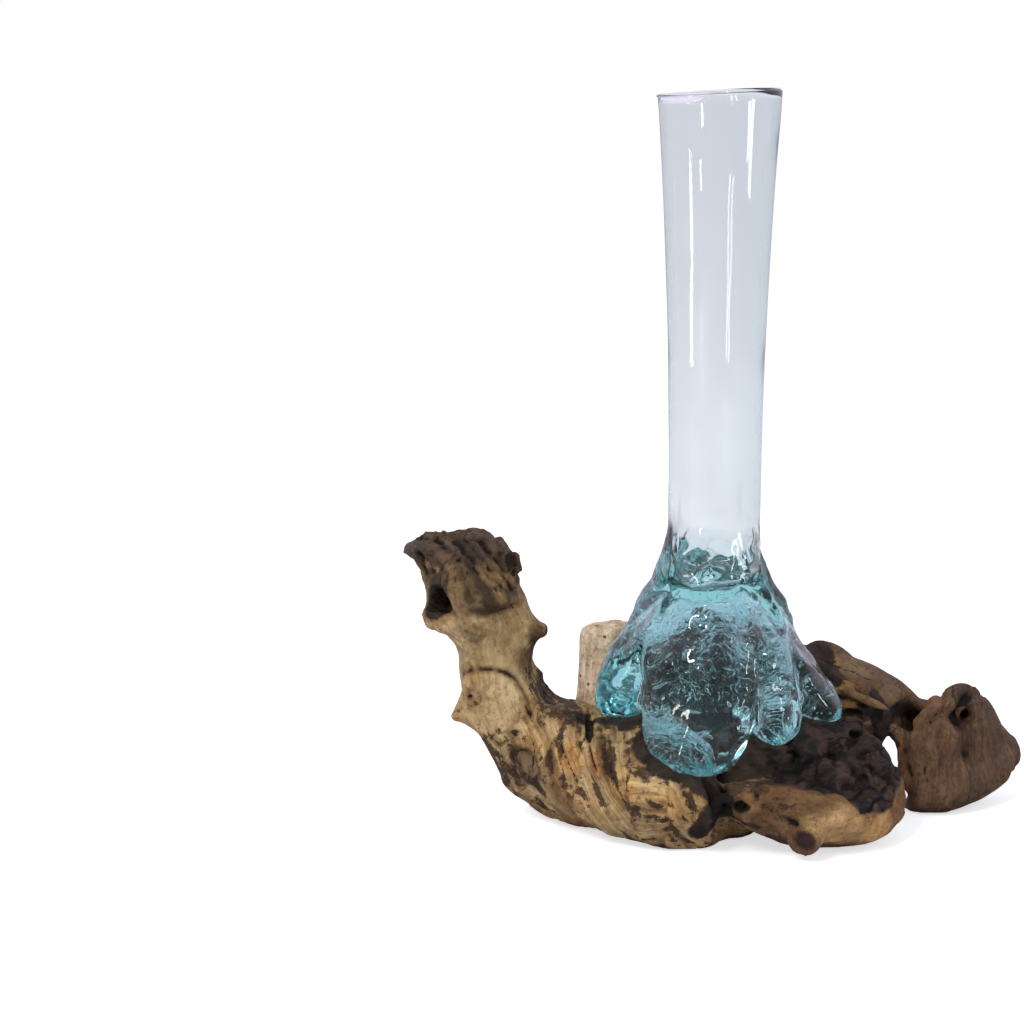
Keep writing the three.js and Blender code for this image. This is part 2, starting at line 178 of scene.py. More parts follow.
# %% Choose by the kind of ray
share = nodes.maths(MULTIPLY, nodes.thrown_back(path), room_share)
through_glass = either(share, background(paper_grey), room)
mirrored = either(path["Is Glossy Ray"], background((0.97, 0.98, 1.0), 0.50), room)
seen = either(path["Is Transmission Ray"], mirrored, through_glass)
seen = either(path["Is Camera Ray"], seen, background((1.0, 1.0, 1.0)))
nodes.fill(nodes.add("OutputWorld").inputs, [seen])
print("world:", len(world.node_tree.nodes), "nodes")

# %% Lay the paper
paper_tone = (0.87, 0.86, 0.96)
paper_shade = (0.29, 0.29, 0.31)
shade_from, shade_to = 0.25, 0.70
glow_strength, glow_in_glass = 0.62, 0.38

bpy.ops.mesh.primitive_plane_add(size=60.0, location=(0.0, 0.0, -0.0004))
paper = bpy.context.object
paper.name = "paper"
paper_look = bpy.data.materials.new("paper")
paper_look.use_nodes = True
paper_look.node_tree.nodes.clear()
nodes = Nodes(paper_look.node_tree)
path = nodes.add("LightPath").outputs
away = nodes.add("VectorMath", operation="LENGTH")
nodes.fill(away.inputs, [nodes.add("TexCoord").outputs["Object"]])
nearby = nodes.mapped(away.outputs["Value"], shade_from, shade_to, 1.0, 0.0)
shaded = nodes.maths(MULTIPLY, nodes.thrown_back(path), nearby)
straight = nodes.maths(SUBTRACT, path["Is Transmission Ray"], shaded, use_clamp=True)
seen = nodes.maths("MULTIPLY_ADD", straight, glow_in_glass, path["Is Camera Ray"])
matt = nodes.add("BsdfDiffuse")
nodes.fill(matt.inputs, [nodes.mixed(shaded, paper_tone, paper_shade)])
glow = nodes.add("Emission")
nodes.fill(glow.inputs, [(1.0, 1.0, 1.0), nodes.maths(MULTIPLY, seen, glow_strength)])
both = nodes.add("AddShader")
nodes.fill(both.inputs, [matt.outputs[0], glow.outputs[0]])
nodes.fill(nodes.add("OutputMaterial").inputs, [both.outputs[0]])
paper.data.materials.append(paper_look)
print("paper:", round(paper.dimensions.x), "m wide")


# %% Hang the soft boxes
def soft_box(name, place, target, size, watts):
    data = bpy.data.lights.new(name, "AREA")
    data.shape = "RECTANGLE"
    data.size, data.size_y = size
    data.energy = watts
    box = bpy.data.objects.new(name, data)
    box.location = place
    box.rotation_euler = (Vector(target) - Vector(place)).to_track_quat("-Z", "Y").to_euler()
    box.visible_camera = False
    bpy.context.scene.collection.objects.link(box)
    return box


neck_middle, low_middle = (-0.005, 0.0, 0.2), (0.0, 0.0, 0.08)
key = soft_box("key_box", (-0.9, -1.0, 1.5), low_middle, (0.8, 0.8), 14.0)
key.visible_glossy = False
soft_box("left_streak", (-0.82, -1.05, 0.22), neck_middle, (0.10, 0.28), 1.5)
soft_box("right_streak", (1.05, -0.62, 0.22), neck_middle, (0.14, 0.28), 1.3)
soft_box("left_glint", (-0.50, -0.95, 1.05), low_middle, (0.07, 0.22), 2.2)
soft_box("right_glint", (0.80, -0.80, 0.95), low_middle, (0.09, 0.09), 1.1)

# %% [markdown]
# ## The wood: its rough shape
#
# The root is one gnarled piece: a standing arm with a head, a trunk, a pale sawn stub,
# a front root, a rotten middle, a back limb and a curled fin. A sculptor would start
# from a block of the right size, so the solid model's root is copied and merged. Deep
# holes are cut into the copy with stretched spheres, small knobs are added the same
# way, and a voxel remesh makes one even skin of all that, ready for fine carving.

# %% Helpers for modelling
MM = 0.001


def only(piece):
    bpy.ops.object.select_all(action="DESELECT")
    piece.select_set(True)
    bpy.context.view_layer.objects.active = piece


def apply_all(piece):
    only(piece)
    for modifier in list(piece.modifiers):
        bpy.ops.object.modifier_apply(modifier=modifier.name)


def open_mesh(piece):
    only(piece)
    bpy.ops.object.mode_set(mode="EDIT")
    bpy.ops.mesh.select_all(action="SELECT")


def close_mesh():
    bpy.ops.object.mode_set(mode="OBJECT")


def new_piece(name, places, edges, faces):
    """A piece from points in millimetres."""
    mesh = bpy.data.meshes.new(name)
    mesh.from_pydata([tuple(place * MM) for place in np.array(places)], edges, faces)
    made = bpy.data.objects.new(name, mesh)
    bpy.context.scene.collection.objects.link(made)
    return made


def join(pieces, piece):
    only(piece)
    for other in pieces:
        other.select_set(True)
    bpy.ops.object.join()


def egg(place, radii, long_way):
    """A stretched sphere: its middle, its radii and where its long axis points, in millimetres."""
    bpy.ops.object.select_all(action="DESELECT")
    bpy.ops.mesh.primitive_ico_sphere_add(subdivisions=3, radius=1.0)
    made = bpy.context.object
    made.scale = [radius * MM for radius in radii]
    made.rotation_euler = Vector(long_way).to_track_quat("Z", "Y").to_euler()
    made.location = [value * MM for value in place]
    bpy.ops.object.transform_apply(location=True, rotation=True, scale=True)
    return made


def cut(piece, cutter, solver="EXACT"):
    modifier = piece.modifiers.new("cut", "BOOLEAN")
    modifier.operation = "DIFFERENCE"
    modifier.solver = solver
    modifier.object = cutter
    apply_all(piece)
    bpy.data.objects.remove(cutter)


def even_skin(piece, size, times):
    """Remakes a piece's skin in even faces of one size and smooths it."""
    skin = piece.modifiers.new("skin", "REMESH")
    skin.mode = "VOXEL"
    skin.voxel_size = size * MM
    soften = piece.modifiers.new("soften", "SMOOTH")
    soften.factor = 0.5
    soften.iterations = times
    apply_all(piece)


# %% Copy the root
same_place = 0.00001
wood = bpy.data.objects.new("root_wood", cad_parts["root_stand"].data.copy())
bpy.context.scene.collection.objects.link(wood)
wood.data.materials.clear()
open_mesh(wood)
bpy.ops.mesh.remove_doubles(threshold=same_place)
close_mesh()
print("root copied:", len(wood.data.polygons), "faces")

# %% Cut the deep holes
# Each hole: its middle, its radii and its direction.
wood_holes = {
    "jaw": ((-124.5, 1.5, 100.5), (5.4, 6.2, 10.5), (0.55, 0.8, 0.0)),
    "ear": ((-92.0, 4.0, 117.0), (1.9, 1.8, 4.6), (-0.2, 0.5, 0.9)),
    "arm_hole": ((-91.0, 5.5, 112.5), (1.3, 1.5, 3.5), (-0.3, 0.8, 0.1)),
    "elbow_scoop": ((-71.0, 12.0, 61.5), (10.0, 10.5, 22.0), (0.1, 1.0, -0.19)),
    "floor_gap": ((76.4, 24.0, 21.5), (4.0, 13.5, 34.0), (0.147, 0.97, -0.19)),
    "nub_hole": ((4.6, -46.6, 23.4), (3.3, 2.0, 5.0), (0.1, 1.0, 0.1)),
    "rot_hole": ((44.5, -30.0, 41.5), (4.4, 2.7, 6.5), (0.1, 0.75, -0.6)),
    "rot_eye": ((57.5, -15.0, 45.0), (4.2, 3.2, 6.0), (-0.2, 0.7, -0.6)),
    "rot_split": ((27.0, -29.5, 41.5), (1.8, 8.0, 4.5), (0.0, 0.5, -0.85)),
    "rot_low": ((58.5, -35.0, 32.0), (3.0, 2.4, 5.0), (-0.3, 0.8, -0.3)),
    "limb_fork": ((69.5, 13.0, 46.0), (3.2, 4.2, 7.5), (0.15, 0.9, 0.1)),
    "limb_eye": ((63.0, 14.0, 52.0), (2.2, 2.2, 4.0), (0.1, 0.9, 0.1)),
    "rot_crack": ((37.0, -33.0, 38.0), (1.6, 3.2, 9.0), (0.9, 0.0, -0.35)),
    "rot_crack_high": ((50.0, -22.0, 43.5), (1.8, 3.6, 8.0), (0.75, 0.3, 0.1)),
    "rot_pocket": ((26.0, -24.0, 44.0), (3.6, 3.0, 6.0), (0.5, 0.3, -0.8)),
    "nub_under": ((0.0, -43.0, 17.0), (3.0, 6.0, 9.0), (0.9, 0.0, 0.3)),
    "end_slot": ((-5.5, -46.5, 28.0), (2.6, 7.0, 12.0), (-0.25, 0.1, 1.0)),
    "limb_pocket": ((57.5, 12.5, 46.5), (5.0, 2.2, 5.0), (0.2, 0.9, 0.3)),
    "shoulder_split": ((-58.2, -8.0, 46.5), (1.1, 3.6, 11.0), (0.0, -0.95, -0.2)),
    "curl_split": ((-66.0, -3.5, 49.5), (1.5, 2.0, 6.0), (0.9, -0.3, 0.1)),
    "side_bore": ((29.7, -55.0, 9.1), (5.4, 5.4, 4.4), (0.32, 0.82, 0.26)),
}
for name, (place, radii, long_way) in wood_holes.items():
    cut(wood, egg(place, radii, long_way))
print("cut", len(wood_holes), "holes,", len(wood.data.polygons), "faces")

# %% Add the small knobs
# Each knob: its middle, its radii and its direction.
wood_knobs = {
    "crest_tip": ((-134.5, 9.8, 123.0), (3.0, 3.4, 4.8), (0.9, 0.0, -0.1)),
    "crest_flake": ((-127.0, 9.0, 128.5), (2.0, 3.0, 5.0), (1.0, -0.1, 0.1)),
    "brow_knob": ((-96.5, 8.0, 122.0), (2.6, 3.4, 4.2), (0.6, 0.0, -0.5)),
    "ear_knob": ((-89.5, 8.0, 117.5), (2.2, 3.0, 5.2), (0.2, 0.1, -0.9)),
    "jaw_tooth": ((-126.5, 3.0, 104.0), (1.6, 2.2, 4.0), (0.1, 0.1, 1.0)),
    "lip_edge": ((-124.0, 0.0, 94.0), (2.0, 2.4, 7.0), (0.9, -0.35, 0.1)),
    "arm_knob_tip": ((-79.0, 10.0, 86.0), (2.8, 3.4, 3.6), (0.5, -0.5, 0.5)),
    "shin_tip": ((-116.0, 9.5, 47.0), (2.6, 3.0, 3.6), (0.7, 0.3, -0.2)),
    "bark_flake": ((-98.5, 4.0, 34.0), (1.8, 3.0, 6.0), (0.35, -0.2, -0.9)),
    "bark_flake_low": ((-93.5, 1.0, 26.0), (1.6, 2.6, 4.6), (0.5, -0.2, -0.8)),
    "curl_lip": ((-68.0, -5.0, 50.0), (1.9, 2.4, 6.0), (0.9, -0.2, 0.3)),
    "curl_back": ((-61.0, 1.0, 51.0), (2.4, 3.4, 4.0), (0.6, 0.6, 0.1)),
    "limb_top": ((49.0, 26.0, 69.5), (5.0, 7.5, 13.0), (0.9, 0.1, -0.4)),
    "nub_lip": ((1.0, -46.6, 26.6), (1.5, 1.7, 5.0), (0.9, -0.1, 0.35)),
    "side_plug": ((30.8, -48.6, 10.4), (5.4, 5.4, 3.4), (0.32, 0.82, 0.26)),
    "nub_tip": ((-5.4, -44.4, 25.4), (2.0, 2.6, 4.5), (0.7, -0.2, 0.6)),
    "rot_spike": ((66.8, -22.0, 33.5), (0.9, 1.2, 4.6), (0.9, -0.1, 0.35)),
    "rot_spike_low": ((68.5, -24.5, 27.5), (0.9, 1.2, 3.6), (0.9, -0.1, -0.2)),
    "rot_lump": ((55.0, -38.0, 26.0), (3.4, 2.6, 5.2), (0.2, -0.2, 1.0)),
    "rot_back": ((61.5, -18.0, 43.0), (2.6, 3.0, 6.5), (0.9, 0.1, -0.5)),
    "limb_knot": ((55.0, 11.2, 61.5), (2.4, 2.0, 4.5), (0.9, -0.1, -0.3)),
    "limb_strand": ((63.0, 10.0, 54.5), (2.4, 2.4, 13.0), (0.9, 0.0, -0.4)),
    "limb_low_strand": ((61.0, 11.0, 42.0), (2.4, 2.6, 11.0), (0.75, 0.1, 0.3)),
    "fin_lip": ((79.0, 18.0, 36.0), (1.8, 2.2, 7.5), (0.35, 0.0, -0.9)),
    "fin_brim": ((90.5, 20.5, 43.0), (2.2, 2.6, 6.5), (0.75, -0.1, 0.65)),
    "fin_brim_top": ((95.0, 23.0, 49.0), (2.6, 3.6, 5.5), (0.6, 0.2, 0.75)),
    "hump_roof": ((109.0, 32.5, 50.6), (3.0, 6.0, 9.5), (1.0, 0.1, 0.0)),
    "hump_wall": ((105.8, 29.6, 45.0), (4.6, 4.6, 4.4), (0.0, 1.0, 0.0)),
    "hump_curl": ((117.5, 32.0, 44.0), (2.6, 3.4, 7.0), (0.35, 0.0, -0.95)),
    "rot_knob_a": ((38.0, -35.5, 36.0), (3.0, 2.6, 5.0), (0.8, -0.2, 0.5)),
    "rot_knob_b": ((48.0, -29.0, 43.0), (2.6, 2.6, 4.6), (0.3, 0.5, 0.8)),
    "rot_knob_c": ((31.0, -27.0, 44.0), (2.8, 2.4, 5.4), (0.9, 0.2, 0.4)),
    "rot_knob_d": ((62.0, -27.0, 37.5), (2.6, 2.8, 5.6), (0.3, -0.4, 0.9)),
    "rot_knob_e": ((22.0, -31.0, 40.0), (2.4, 2.2, 6.0), (0.9, -0.3, 0.2)),
    "crown_fold": ((-111.0, 3.0, 126.0), (1.6, 2.4, 8.0), (0.55, -0.5, -0.65)),
    "crown_fold_low": ((-105.0, 0.0, 122.0), (1.6, 2.2, 8.0), (0.5, -0.4, -0.75)),
}
knobs = [egg(*values) for values in wood_knobs.values()]
join(knobs, wood)
print("added", len(knobs), "knobs")

# %% Give it one even skin
even_skin(wood, 1.08, 9)
print("skin:", len(wood.data.vertices), "points,", len(wood.data.polygons), "faces")

# %% [markdown]
# ## The wood: carving along the grain
#
# Wood splits, weathers and stains along its fibres, so the carving needs to know where
# they run. Each limb gets a grain line through its middle. Every point of the skin
# takes two numbers across the nearest grain line and one along it, and noise that is
# stretched along that third number looks like fibre. The trunk's fibres also twist.
# This is a job for arrays, because it treats every point by the same rule.

# %% Arrays of points
def points_of(mesh):
    flat = np.empty(len(mesh.vertices) * 3)
    mesh.vertices.foreach_get("co", flat)
    return flat.reshape(-1, 3) / MM


def normals_of(mesh):
    flat = np.empty(len(mesh.vertices) * 3)
    mesh.vertices.foreach_get("normal", flat)
    return flat.reshape(-1, 3)


def put_points(mesh, places):
    mesh.vertices.foreach_set("co", (places * MM).ravel())
    mesh.update()


def edges_of(mesh):
    flat = np.empty(len(mesh.edges) * 2, np.int32)
    mesh.edges.foreach_get("vertices", flat)
    return flat.reshape(-1, 2)


def blur(values, edges, times):
    """Averages each point with its neighbours, again and again."""
    count = np.bincount(edges.ravel(), minlength=len(values)).astype(float)
    values = values.astype(float)
    for _ in range(times):
        if values.ndim == 1:
            total = np.bincount(edges[:, 0], values[edges[:, 1]], len(values))
            total += np.bincount(edges[:, 1], values[edges[:, 0]], len(values))
            values = 0.5 * values + 0.5 * total / count
        else:
            values = np.stack([blur(values[:, k], edges, 1) for k in range(3)], 1)
    return values


# %% Noise for arrays
def corner_value(i, j, k, seed):
    code = i * 374761393 + j * 668265263 + k * 974634777 + seed * 144269504
    code = code & 0xFFFFFFFF
    code = ((code ^ (code >> 13)) * 1274126177) & 0xFFFFFFFF
    return ((code ^ (code >> 16)) & 0xFFFF) / 32767.5 - 1.0


def noise(places, seed=0):
    """Smooth noise from -1 to 1, with one swelling for each unit of length."""
    low = np.floor(places).astype(np.int64)
    part = places - low
    part = part * part * (3.0 - 2.0 * part)
    total = np.zeros(len(places))
    for corner in range(8):
        step = np.array([corner & 1, corner >> 1 & 1, corner >> 2 & 1])
        weight = np.prod(np.where(step == 1, part, 1.0 - part), axis=1)
        i, j, k = (low + step).T
        total += weight * corner_value(i, j, k, seed)
    return total


def layered(places, seed=0, layers=3):
    """Noise with finer and fainter noise on top of it."""
    total = np.zeros(len(places))
    for layer in range(layers):
        total += noise(places * 2.0**layer, seed + layer) / 2.0**layer
    return total / (2.0 - 0.5 ** (layers - 1))


def pebbles(places, seed=0):
    """Distance to the nearest and to the second nearest of points strewn at random."""
    low = np.floor(places).astype(np.int64)
    first = np.full(len(places), 9.0)
    second = np.full(len(places), 9.0)
    for i in (-1, 0, 1):
        for j in (-1, 0, 1):
            for k in (-1, 0, 1):
                cell_at = low + (i, j, k)
                shift = [corner_value(*cell_at.T, seed + axis) for axis in range(3)]
                spot = cell_at + 0.5 + 0.45 * np.stack(shift, 1)
                away = np.linalg.norm(places - spot, axis=1)
                second = np.minimum(second, np.maximum(first, away))
                first = np.minimum(first, away)
    return first, second


def between(low, high, values):
    """0 at the low value and 1 at the high one, with a soft curve between them."""
    part = np.clip((values - low) / (high - low), 0.0, 1.0)
    return part * part * (3.0 - 2.0 * part)


# %% Draw the grain lines
# Each point: x, y, z and the limb's radius, in millimetres. Twist is in radians per millimetre.
grain_lines = {
    "arm": {
        "points": [
            (-138.7, 10.6, 122.5, 6), (-130.7, 10.6, 122, 9), (-118.7, 11.6, 117.5, 13),
            (-109.7, 12.6, 107, 20), (-103.7, 13.6, 93, 19), (-99.7, 14.6, 77, 16.5),
            (-97.7, 15.6, 60, 18), (-85.7, 14.6, 43.5, 21), (-66.7, 9.6, 28, 24),
            (-46.7, -4.4, 25.5, 26), (-26.7, -19.4, 25.5, 26.5), (-6.7, -21.4, 24.5, 25.5),
            (3.3, -20.4, 24.5, 23),
        ],
        "twist": [0.0, 0.0, 0.0, 0.0, 0.002, 0.004, 0.008, 0.02, 0.045, 0.062, 0.062, 0.05, 0.04],
    },
    "stub": {"points": [(-52.7, 25.6, 18, 15), (-50.7, 32.6, 40, 12.5), (-49.7, 34.6, 96, 11)]},
    "knuckle": {"points": [(-6.7, 6.6, 10, 30), (-5.7, 4.6, 44, 30), (-5.0, 0.6, 96, 24)]},
    "heel": {"points": [(-22.7, 21.6, 20, 20), (-38.7, 33.6, 16, 17), (-54.7, 39.6, 14, 12)]},
    "front_root": {
        "points": [
            (-6.7, -37.4, 23, 4.6), (1.3, -39.4, 23, 8), (16.3, -38.4, 22.5, 11.5),
            (34.3, -34.4, 18, 16.5), (51.3, -25.4, 17, 18), (64.3, -11.4, 18, 15),
        ],
    },
    "side_root": {"points": [(29.8, -51.4, 9, 7.3), (37.3, -32.4, 15, 9)]},
    "rotten": {"points": [(17.3, -10.4, 30, 22), (37.3, -11.4, 33, 21), (55.3, -8.4, 32, 16)]},
    "limb": {
        "points": [
            (5.3, 13.6, 60, 20), (31.3, 25.6, 58, 18.5), (53.3, 30.6, 53, 18),
            (71.3, 32.6, 46, 16), (80.3, 33.6, 40, 13),
        ],
    },
    "fin": {"points": [(93, 34, 56, 15), (91, 28, 30, 17), (88, 26, -2, 16)]},
    "fin_tip": {"points": [(112, 37, 52, 12), (116, 36, 30, 14), (120, 36, -2, 14)]},
}
print("grain lines:", len(grain_lines))


def along_line(points, places):
    """Distance over radius, place across and place along, for the nearest place on a line."""
    line = np.array(points, float)
    best = np.full(len(places), np.inf)
    across = np.zeros((len(places), 2))
    along = np.zeros(len(places))
    piece = np.zeros(len(places))
    start_along = 0.0
    for number in range(len(line) - 1):
        start, end = line[number, :3], line[number + 1, :3]
        run = end - start
        length = np.linalg.norm(run)
        part = np.clip((places - start) @ run / length**2, 0.0, 1.0)
        offset = places - start - part[:, None] * run
        radius = line[number, 3] + part * (line[number + 1, 3] - line[number, 3])
        share = np.linalg.norm(offset, axis=1) / radius
        side = np.cross(run, (0.0, 1.0, 0.02))
        side /= np.linalg.norm(side)
        up = np.cross(side, run / length)
        near = share < best
        best[near] = share[near]
        across[near] = np.stack([offset @ side, offset @ up], 1)[near]
        along[near] = (start_along + part * length)[near]
        piece[near] = (number + part)[near]
        start_along += length
    return best, across, along, piece


# %% Find each point's fibre
wood_points = points_of(wood.data)
wood_edges = edges_of(wood.data)
closest = np.full(len(wood_points), np.inf)
fibre = np.zeros((len(wood_points), 3))
limb_of = np.zeros(len(wood_points), int)
limb_part = np.zeros(len(wood_points))
limb_names = list(grain_lines)
for number, name in enumerate(limb_names):
    line = grain_lines[name]
    share, across, along, piece = along_line(line["points"], wood_points)
    twist = np.array(line.get("twist", [0.004] * len(line["points"])))
    lengths = np.linalg.norm(np.diff(np.array(line["points"])[:, :3], axis=0), axis=1)
    turned = np.concatenate([[0.0], np.cumsum(lengths * (twist[1:] + twist[:-1]) / 2)])
    turn = np.interp(piece, np.arange(len(turned)), turned)
    x = across[:, 0] * np.cos(turn) - across[:, 1] * np.sin(turn)
    y = across[:, 0] * np.sin(turn) + across[:, 1] * np.cos(turn)
    near = share < closest
    closest[near] = share[near]
    fibre[near] = np.stack([x + 90.0 * number, y, along], 1)[near]
    limb_of[near] = number
    limb_part[near] = piece[near]
limb_share = {name: blur((limb_of == k).astype(float), wood_edges, 6) for k, name in enumerate(limb_names)}
print("fibres:", {name: int((limb_of == k).sum()) for k, name in enumerate(limb_names)})

# %% [markdown]
# ## The wood: what is carved where
#
# From the largest to the smallest: the marks that one can point at, such as a knot, an
# oval scar and the crease below the head; then lumps; then fibres that stand up and
# lie down; then cracks that follow the fibres; then the pits of rot.

# %% Helpers for single marks
def near_spot(spot, radius):
    """1 at a spot, falling to 0 at the radius."""
    away = np.linalg.norm(wood_points - np.array(spot), axis=1)
    return 1.0 - between(0.0, radius, away)


def near_path(path, width):
    """1 on a path through points, falling to 0 at the width."""
    away = np.full(len(wood_points), np.inf)
    path = np.array(path, float)
    for start, end in zip(path[:-1], path[1:]):
        run = end - start
        part = np.clip((wood_points - start) @ run / (run @ run), 0.0, 1.0)
        offset = np.linalg.norm(wood_points - start - part[:, None] * run, axis=1)
        away = np.minimum(away, offset)
    return 1.0 - between(0.0, width, away)


def near_any(paths, width):
    return np.max([near_path(path, width) for path in paths], axis=0)


def in_hole(name, reach=1.3):
    """1 inside a hole that was cut, 0 outside it."""
    place, radii, long_way = wood_holes[name]
    turn = np.array(Vector(long_way).to_track_quat("Z", "Y").to_matrix())
    inside = (wood_points - np.array(place)) @ turn / np.array(radii)
    return 1.0 - between(1.04, reach, np.linalg.norm(inside, axis=1))


# %% Draw the creases
ring_crease = [
    (-115, 8.6, 66), (-110, 2, 69.6), (-105.5, -1, 71), (-99, -2, 70.6), (-94.7, -0.5, 69.4),
    (-90, 0, 66.6), (-87, 0, 62), (-84.5, -1.5, 57), (-84, -4, 52),
]
cheek_crease = [(-109, -9, 98.6), (-103, -7, 97.2), (-97, -2, 97.8), (-88, 4.3, 99.5)]
head_crease = [(-132, 8.5, 128), (-131.5, 5, 120), (-130, 7, 111)]
crown_creases = [
    [(-121, 2, 125), (-113, -3, 119), (-105, -6, 115)],
    [(-112, 3, 128), (-106, -1, 121), (-99, -2, 116)],
    [(-127, 5, 121), (-120, -2, 114), (-112, -6, 112)],
    [(-96, 4, 121), (-95, 2, 113), (-92, 3, 106)],
    [(-104, 4, 127), (-99, 1, 121), (-95, 3, 116)],
    [(-118, 4, 129), (-110, -2, 122), (-104, -5, 117)],
    [(-124, 6, 127), (-118, 0, 121), (-113, -3, 116)],
    [(-90, 6, 121), (-89, 6, 114), (-88, 7, 108)],
]
seam = [(-58, 2, 49.5), (-58.2, -12, 46.5), (-58.5, -25, 41.5), (-56, -32, 33)]
front_ledge = [(10, -46, 33), (17, -46.5, 31), (29, -48, 29), (40, -48.5, 26), (50, -46, 22), (60, -39, 20)]
front_groove = [(11, -46, 28), (14, -47, 24), (20, -48, 20), (27, -50, 17)]
fin_edge = [(76, 19, 38), (77, 18, 33), (81.5, 19.5, 19), (85, 20, 5)]
hump_fold = [(105.5, 27, 42.5), (107.5, 27, 45.8), (111, 28.5, 49.6)]
hump_mouth = [(109, 27, 44), (113, 28, 48)]
limb_folds = [
    [(44, 13, 66), (55, 12, 60), (66, 13, 53)], [(48, 11, 56), (58, 10, 52), (68, 12, 46)],
    [(52, 11, 47), (60, 11, 44), (67, 14, 40)],
]
print("creases on the crown:", len(crown_creases), "and on the limb:", len(limb_folds))

# %% Press the creases in and raise the swells
# Each crease: how deep it is in millimetres, how wide, and its paths.
crease_table = [
    (1.2, 2.8, [ring_crease]), (1.1, 3.0, [cheek_crease]), (2.0, 2.6, [head_crease]),
    (1.7, 2.8, crown_creases), (1.8, 1.8, [seam]), (1.6, 3.0, [front_groove]), (1.5, 2.8, limb_folds),
]
# Each swell: how high it is in millimetres, how wide, and its path. A hollow is a negative swell.
swell_table = [
    (1.2, 7.0, [(-106, -2, 66), (-96, -2, 63), (-90, -1, 58)]),
    (2.0, 6.0, [(-111, -8, 102.5), (-103, -7, 101.5), (-94, -1, 102.5)]),
    (-0.9, 5.0, [(-109, -8, 94), (-100, -4, 93), (-92, 1, 95)]),
    (1.9, 4.2, front_ledge),
    (-2.4, 5.0, [(14, -40, 36), (29, -40, 35), (42, -40, 33), (52, -38, 30)]),
    (-0.9, 5.0, [(22, -49, 24), (36, -51, 20)]),
    (1.2, 3.4, [(6, -47, 29), (9, -48, 22)]),
    (1.2, 2.6, fin_edge),
    (-1.4, 3.2, [(80.5, 17, 36), (84.5, 18, 20), (88, 19, 6)]),
    (1.7, 4.6, [(96, 21, 50), (101, 20, 44), (103, 18, 36), (102, 18, 26), (100, 18, 14)]),
    (-2.4, 7.0, [(108, 23, 43), (110, 21, 36), (111, 21, 27)]),
    (-3.0, 4.5, hump_fold),
    (-1.2, 9.0, hump_mouth),
    (1.2, 3.4, [(84, 20, 42), (88, 19, 44), (92, 21, 47)]),
    (0.8, 6.0, [(90, 18, 38), (96, 18, 26), (99, 19, 10)]),
]
creases = sum(depth * near_any(paths, width) for depth, width, paths in crease_table)
swells = sum(height * near_path(path, width) for height, width, path in swell_table)
# Painted shade: the colour is darkened along these creases.
shaded_lines = [near_path(ring_crease, 2.4)]
shaded_lines += [0.8 * near_any([cheek_crease, head_crease], 3.6)]
shaded_lines += [0.8 * near_any(crown_creases + limb_folds, 3.0)]
painted_crease_shade = np.max(shaded_lines, axis=0)
print("deepest crease:", round(float(creases.max()), 2), "mm")

# %% Mark the knot, the scar and the little holes
knot_place = np.array((-109.5, 2.8, 57.2))
knot_away = np.linalg.norm((wood_points - knot_place) * (1.0, 1.0, 1.25), axis=1)
knot = 0.55 * np.cos(knot_away * 1.9) * (1.0 - between(2.0, 10.0, knot_away))
knot -= 1.6 * near_spot((-110.3, 2.6, 57.8), 2.0) + 1.2 * near_spot((-107.6, 1.4, 55.2), 1.8)
scar_long = np.array((0.72, -0.3, -0.62))
scar_out = np.array((-0.54, -0.84, 0.0))
scar_wide = np.cross(scar_long, scar_out)
scar_from = wood_points - np.array((-85.2, -7.7, 30.0))
scar_bend = 1.0 + 0.10 * noise(wood_points / 4.0, 17)
scar_shape = np.hypot(scar_from @ scar_long / 8.6, scar_from @ scar_wide / 5.4) * scar_bend
scar_near = (np.abs(scar_from @ scar_out) < 8.0).astype(float)
scar = (1.0 - between(0.86, 1.0, scar_shape)) * scar_near
scar_rim = (between(0.85, 1.0, scar_shape) - between(1.0, 1.35, scar_shape)) * scar_near
print("points in the scar:", int((scar > 0.5).sum()))

# %% Find the parts that are carved in different ways
arm = limb_names.index("arm")
head_end, trunk_start = 4.15, 6.6
arm_part = np.where(limb_of == arm, limb_part, np.inf)
head = blur((arm_part < head_end).astype(float), wood_edges, 10)
trunk = blur(((arm_part > trunk_start) & np.isfinite(arm_part)).astype(float), wood_edges, 14)
crown = head * between(99.0, 107.0, wood_points[:, 2])
rot_reach = [9.0, 14.0, 20.0, 29.0, 37.0, 45.0, 49.4, 53.6, 59.0, 66.0, 71.0, 76.0]
rot_floor = [31.5, 31.5, 30.5, 30.5, 29.0, 27.5, 25.5, 20.0, 19.0, 17.5, 20.5, 25.0]
rot_line = np.interp(wood_points[:, 0], rot_reach, rot_floor) + 1.4 * noise(wood_points / 5.0, 19)
ends = between(0.5, 4.0, wood_points[:, 0])
front_side = limb_share["rotten"] + limb_share["front_root"] + 0.6 * limb_share["knuckle"]
rotten = np.clip(front_side, 0, 1) * between(-1.2, 1.2, wood_points[:, 2] - rot_line) * ends
rough_rot = rotten * between(-0.5, 0.4, noise(wood_points / 12.0, 87) + 0.15)
smooth_part = np.clip(limb_share["stub"] + limb_share["side_root"] + 0.6 * limb_share["fin"], 0, 1)
smooth_root = 0.5 * limb_share["front_root"] * (1 - rotten)
smooth_part = np.clip(smooth_part + 0.5 * limb_share["fin_tip"] + smooth_root, 0, 1)
print("rotten points:", int((rotten > 0.5).sum()), "trunk points:", int((trunk > 0.5).sum()))

# %% Draw the wood's patterns
warp = 2.4 * np.stack([noise(wood_points / 13.0, seed) for seed in (5, 6, 7)], 1)
fibre_bent = fibre + warp


def along_fibres(across, along, seed):
    """Noise that is as wide and as long as given, in millimetres."""
    return noise(fibre_bent / (across, across, along), seed)


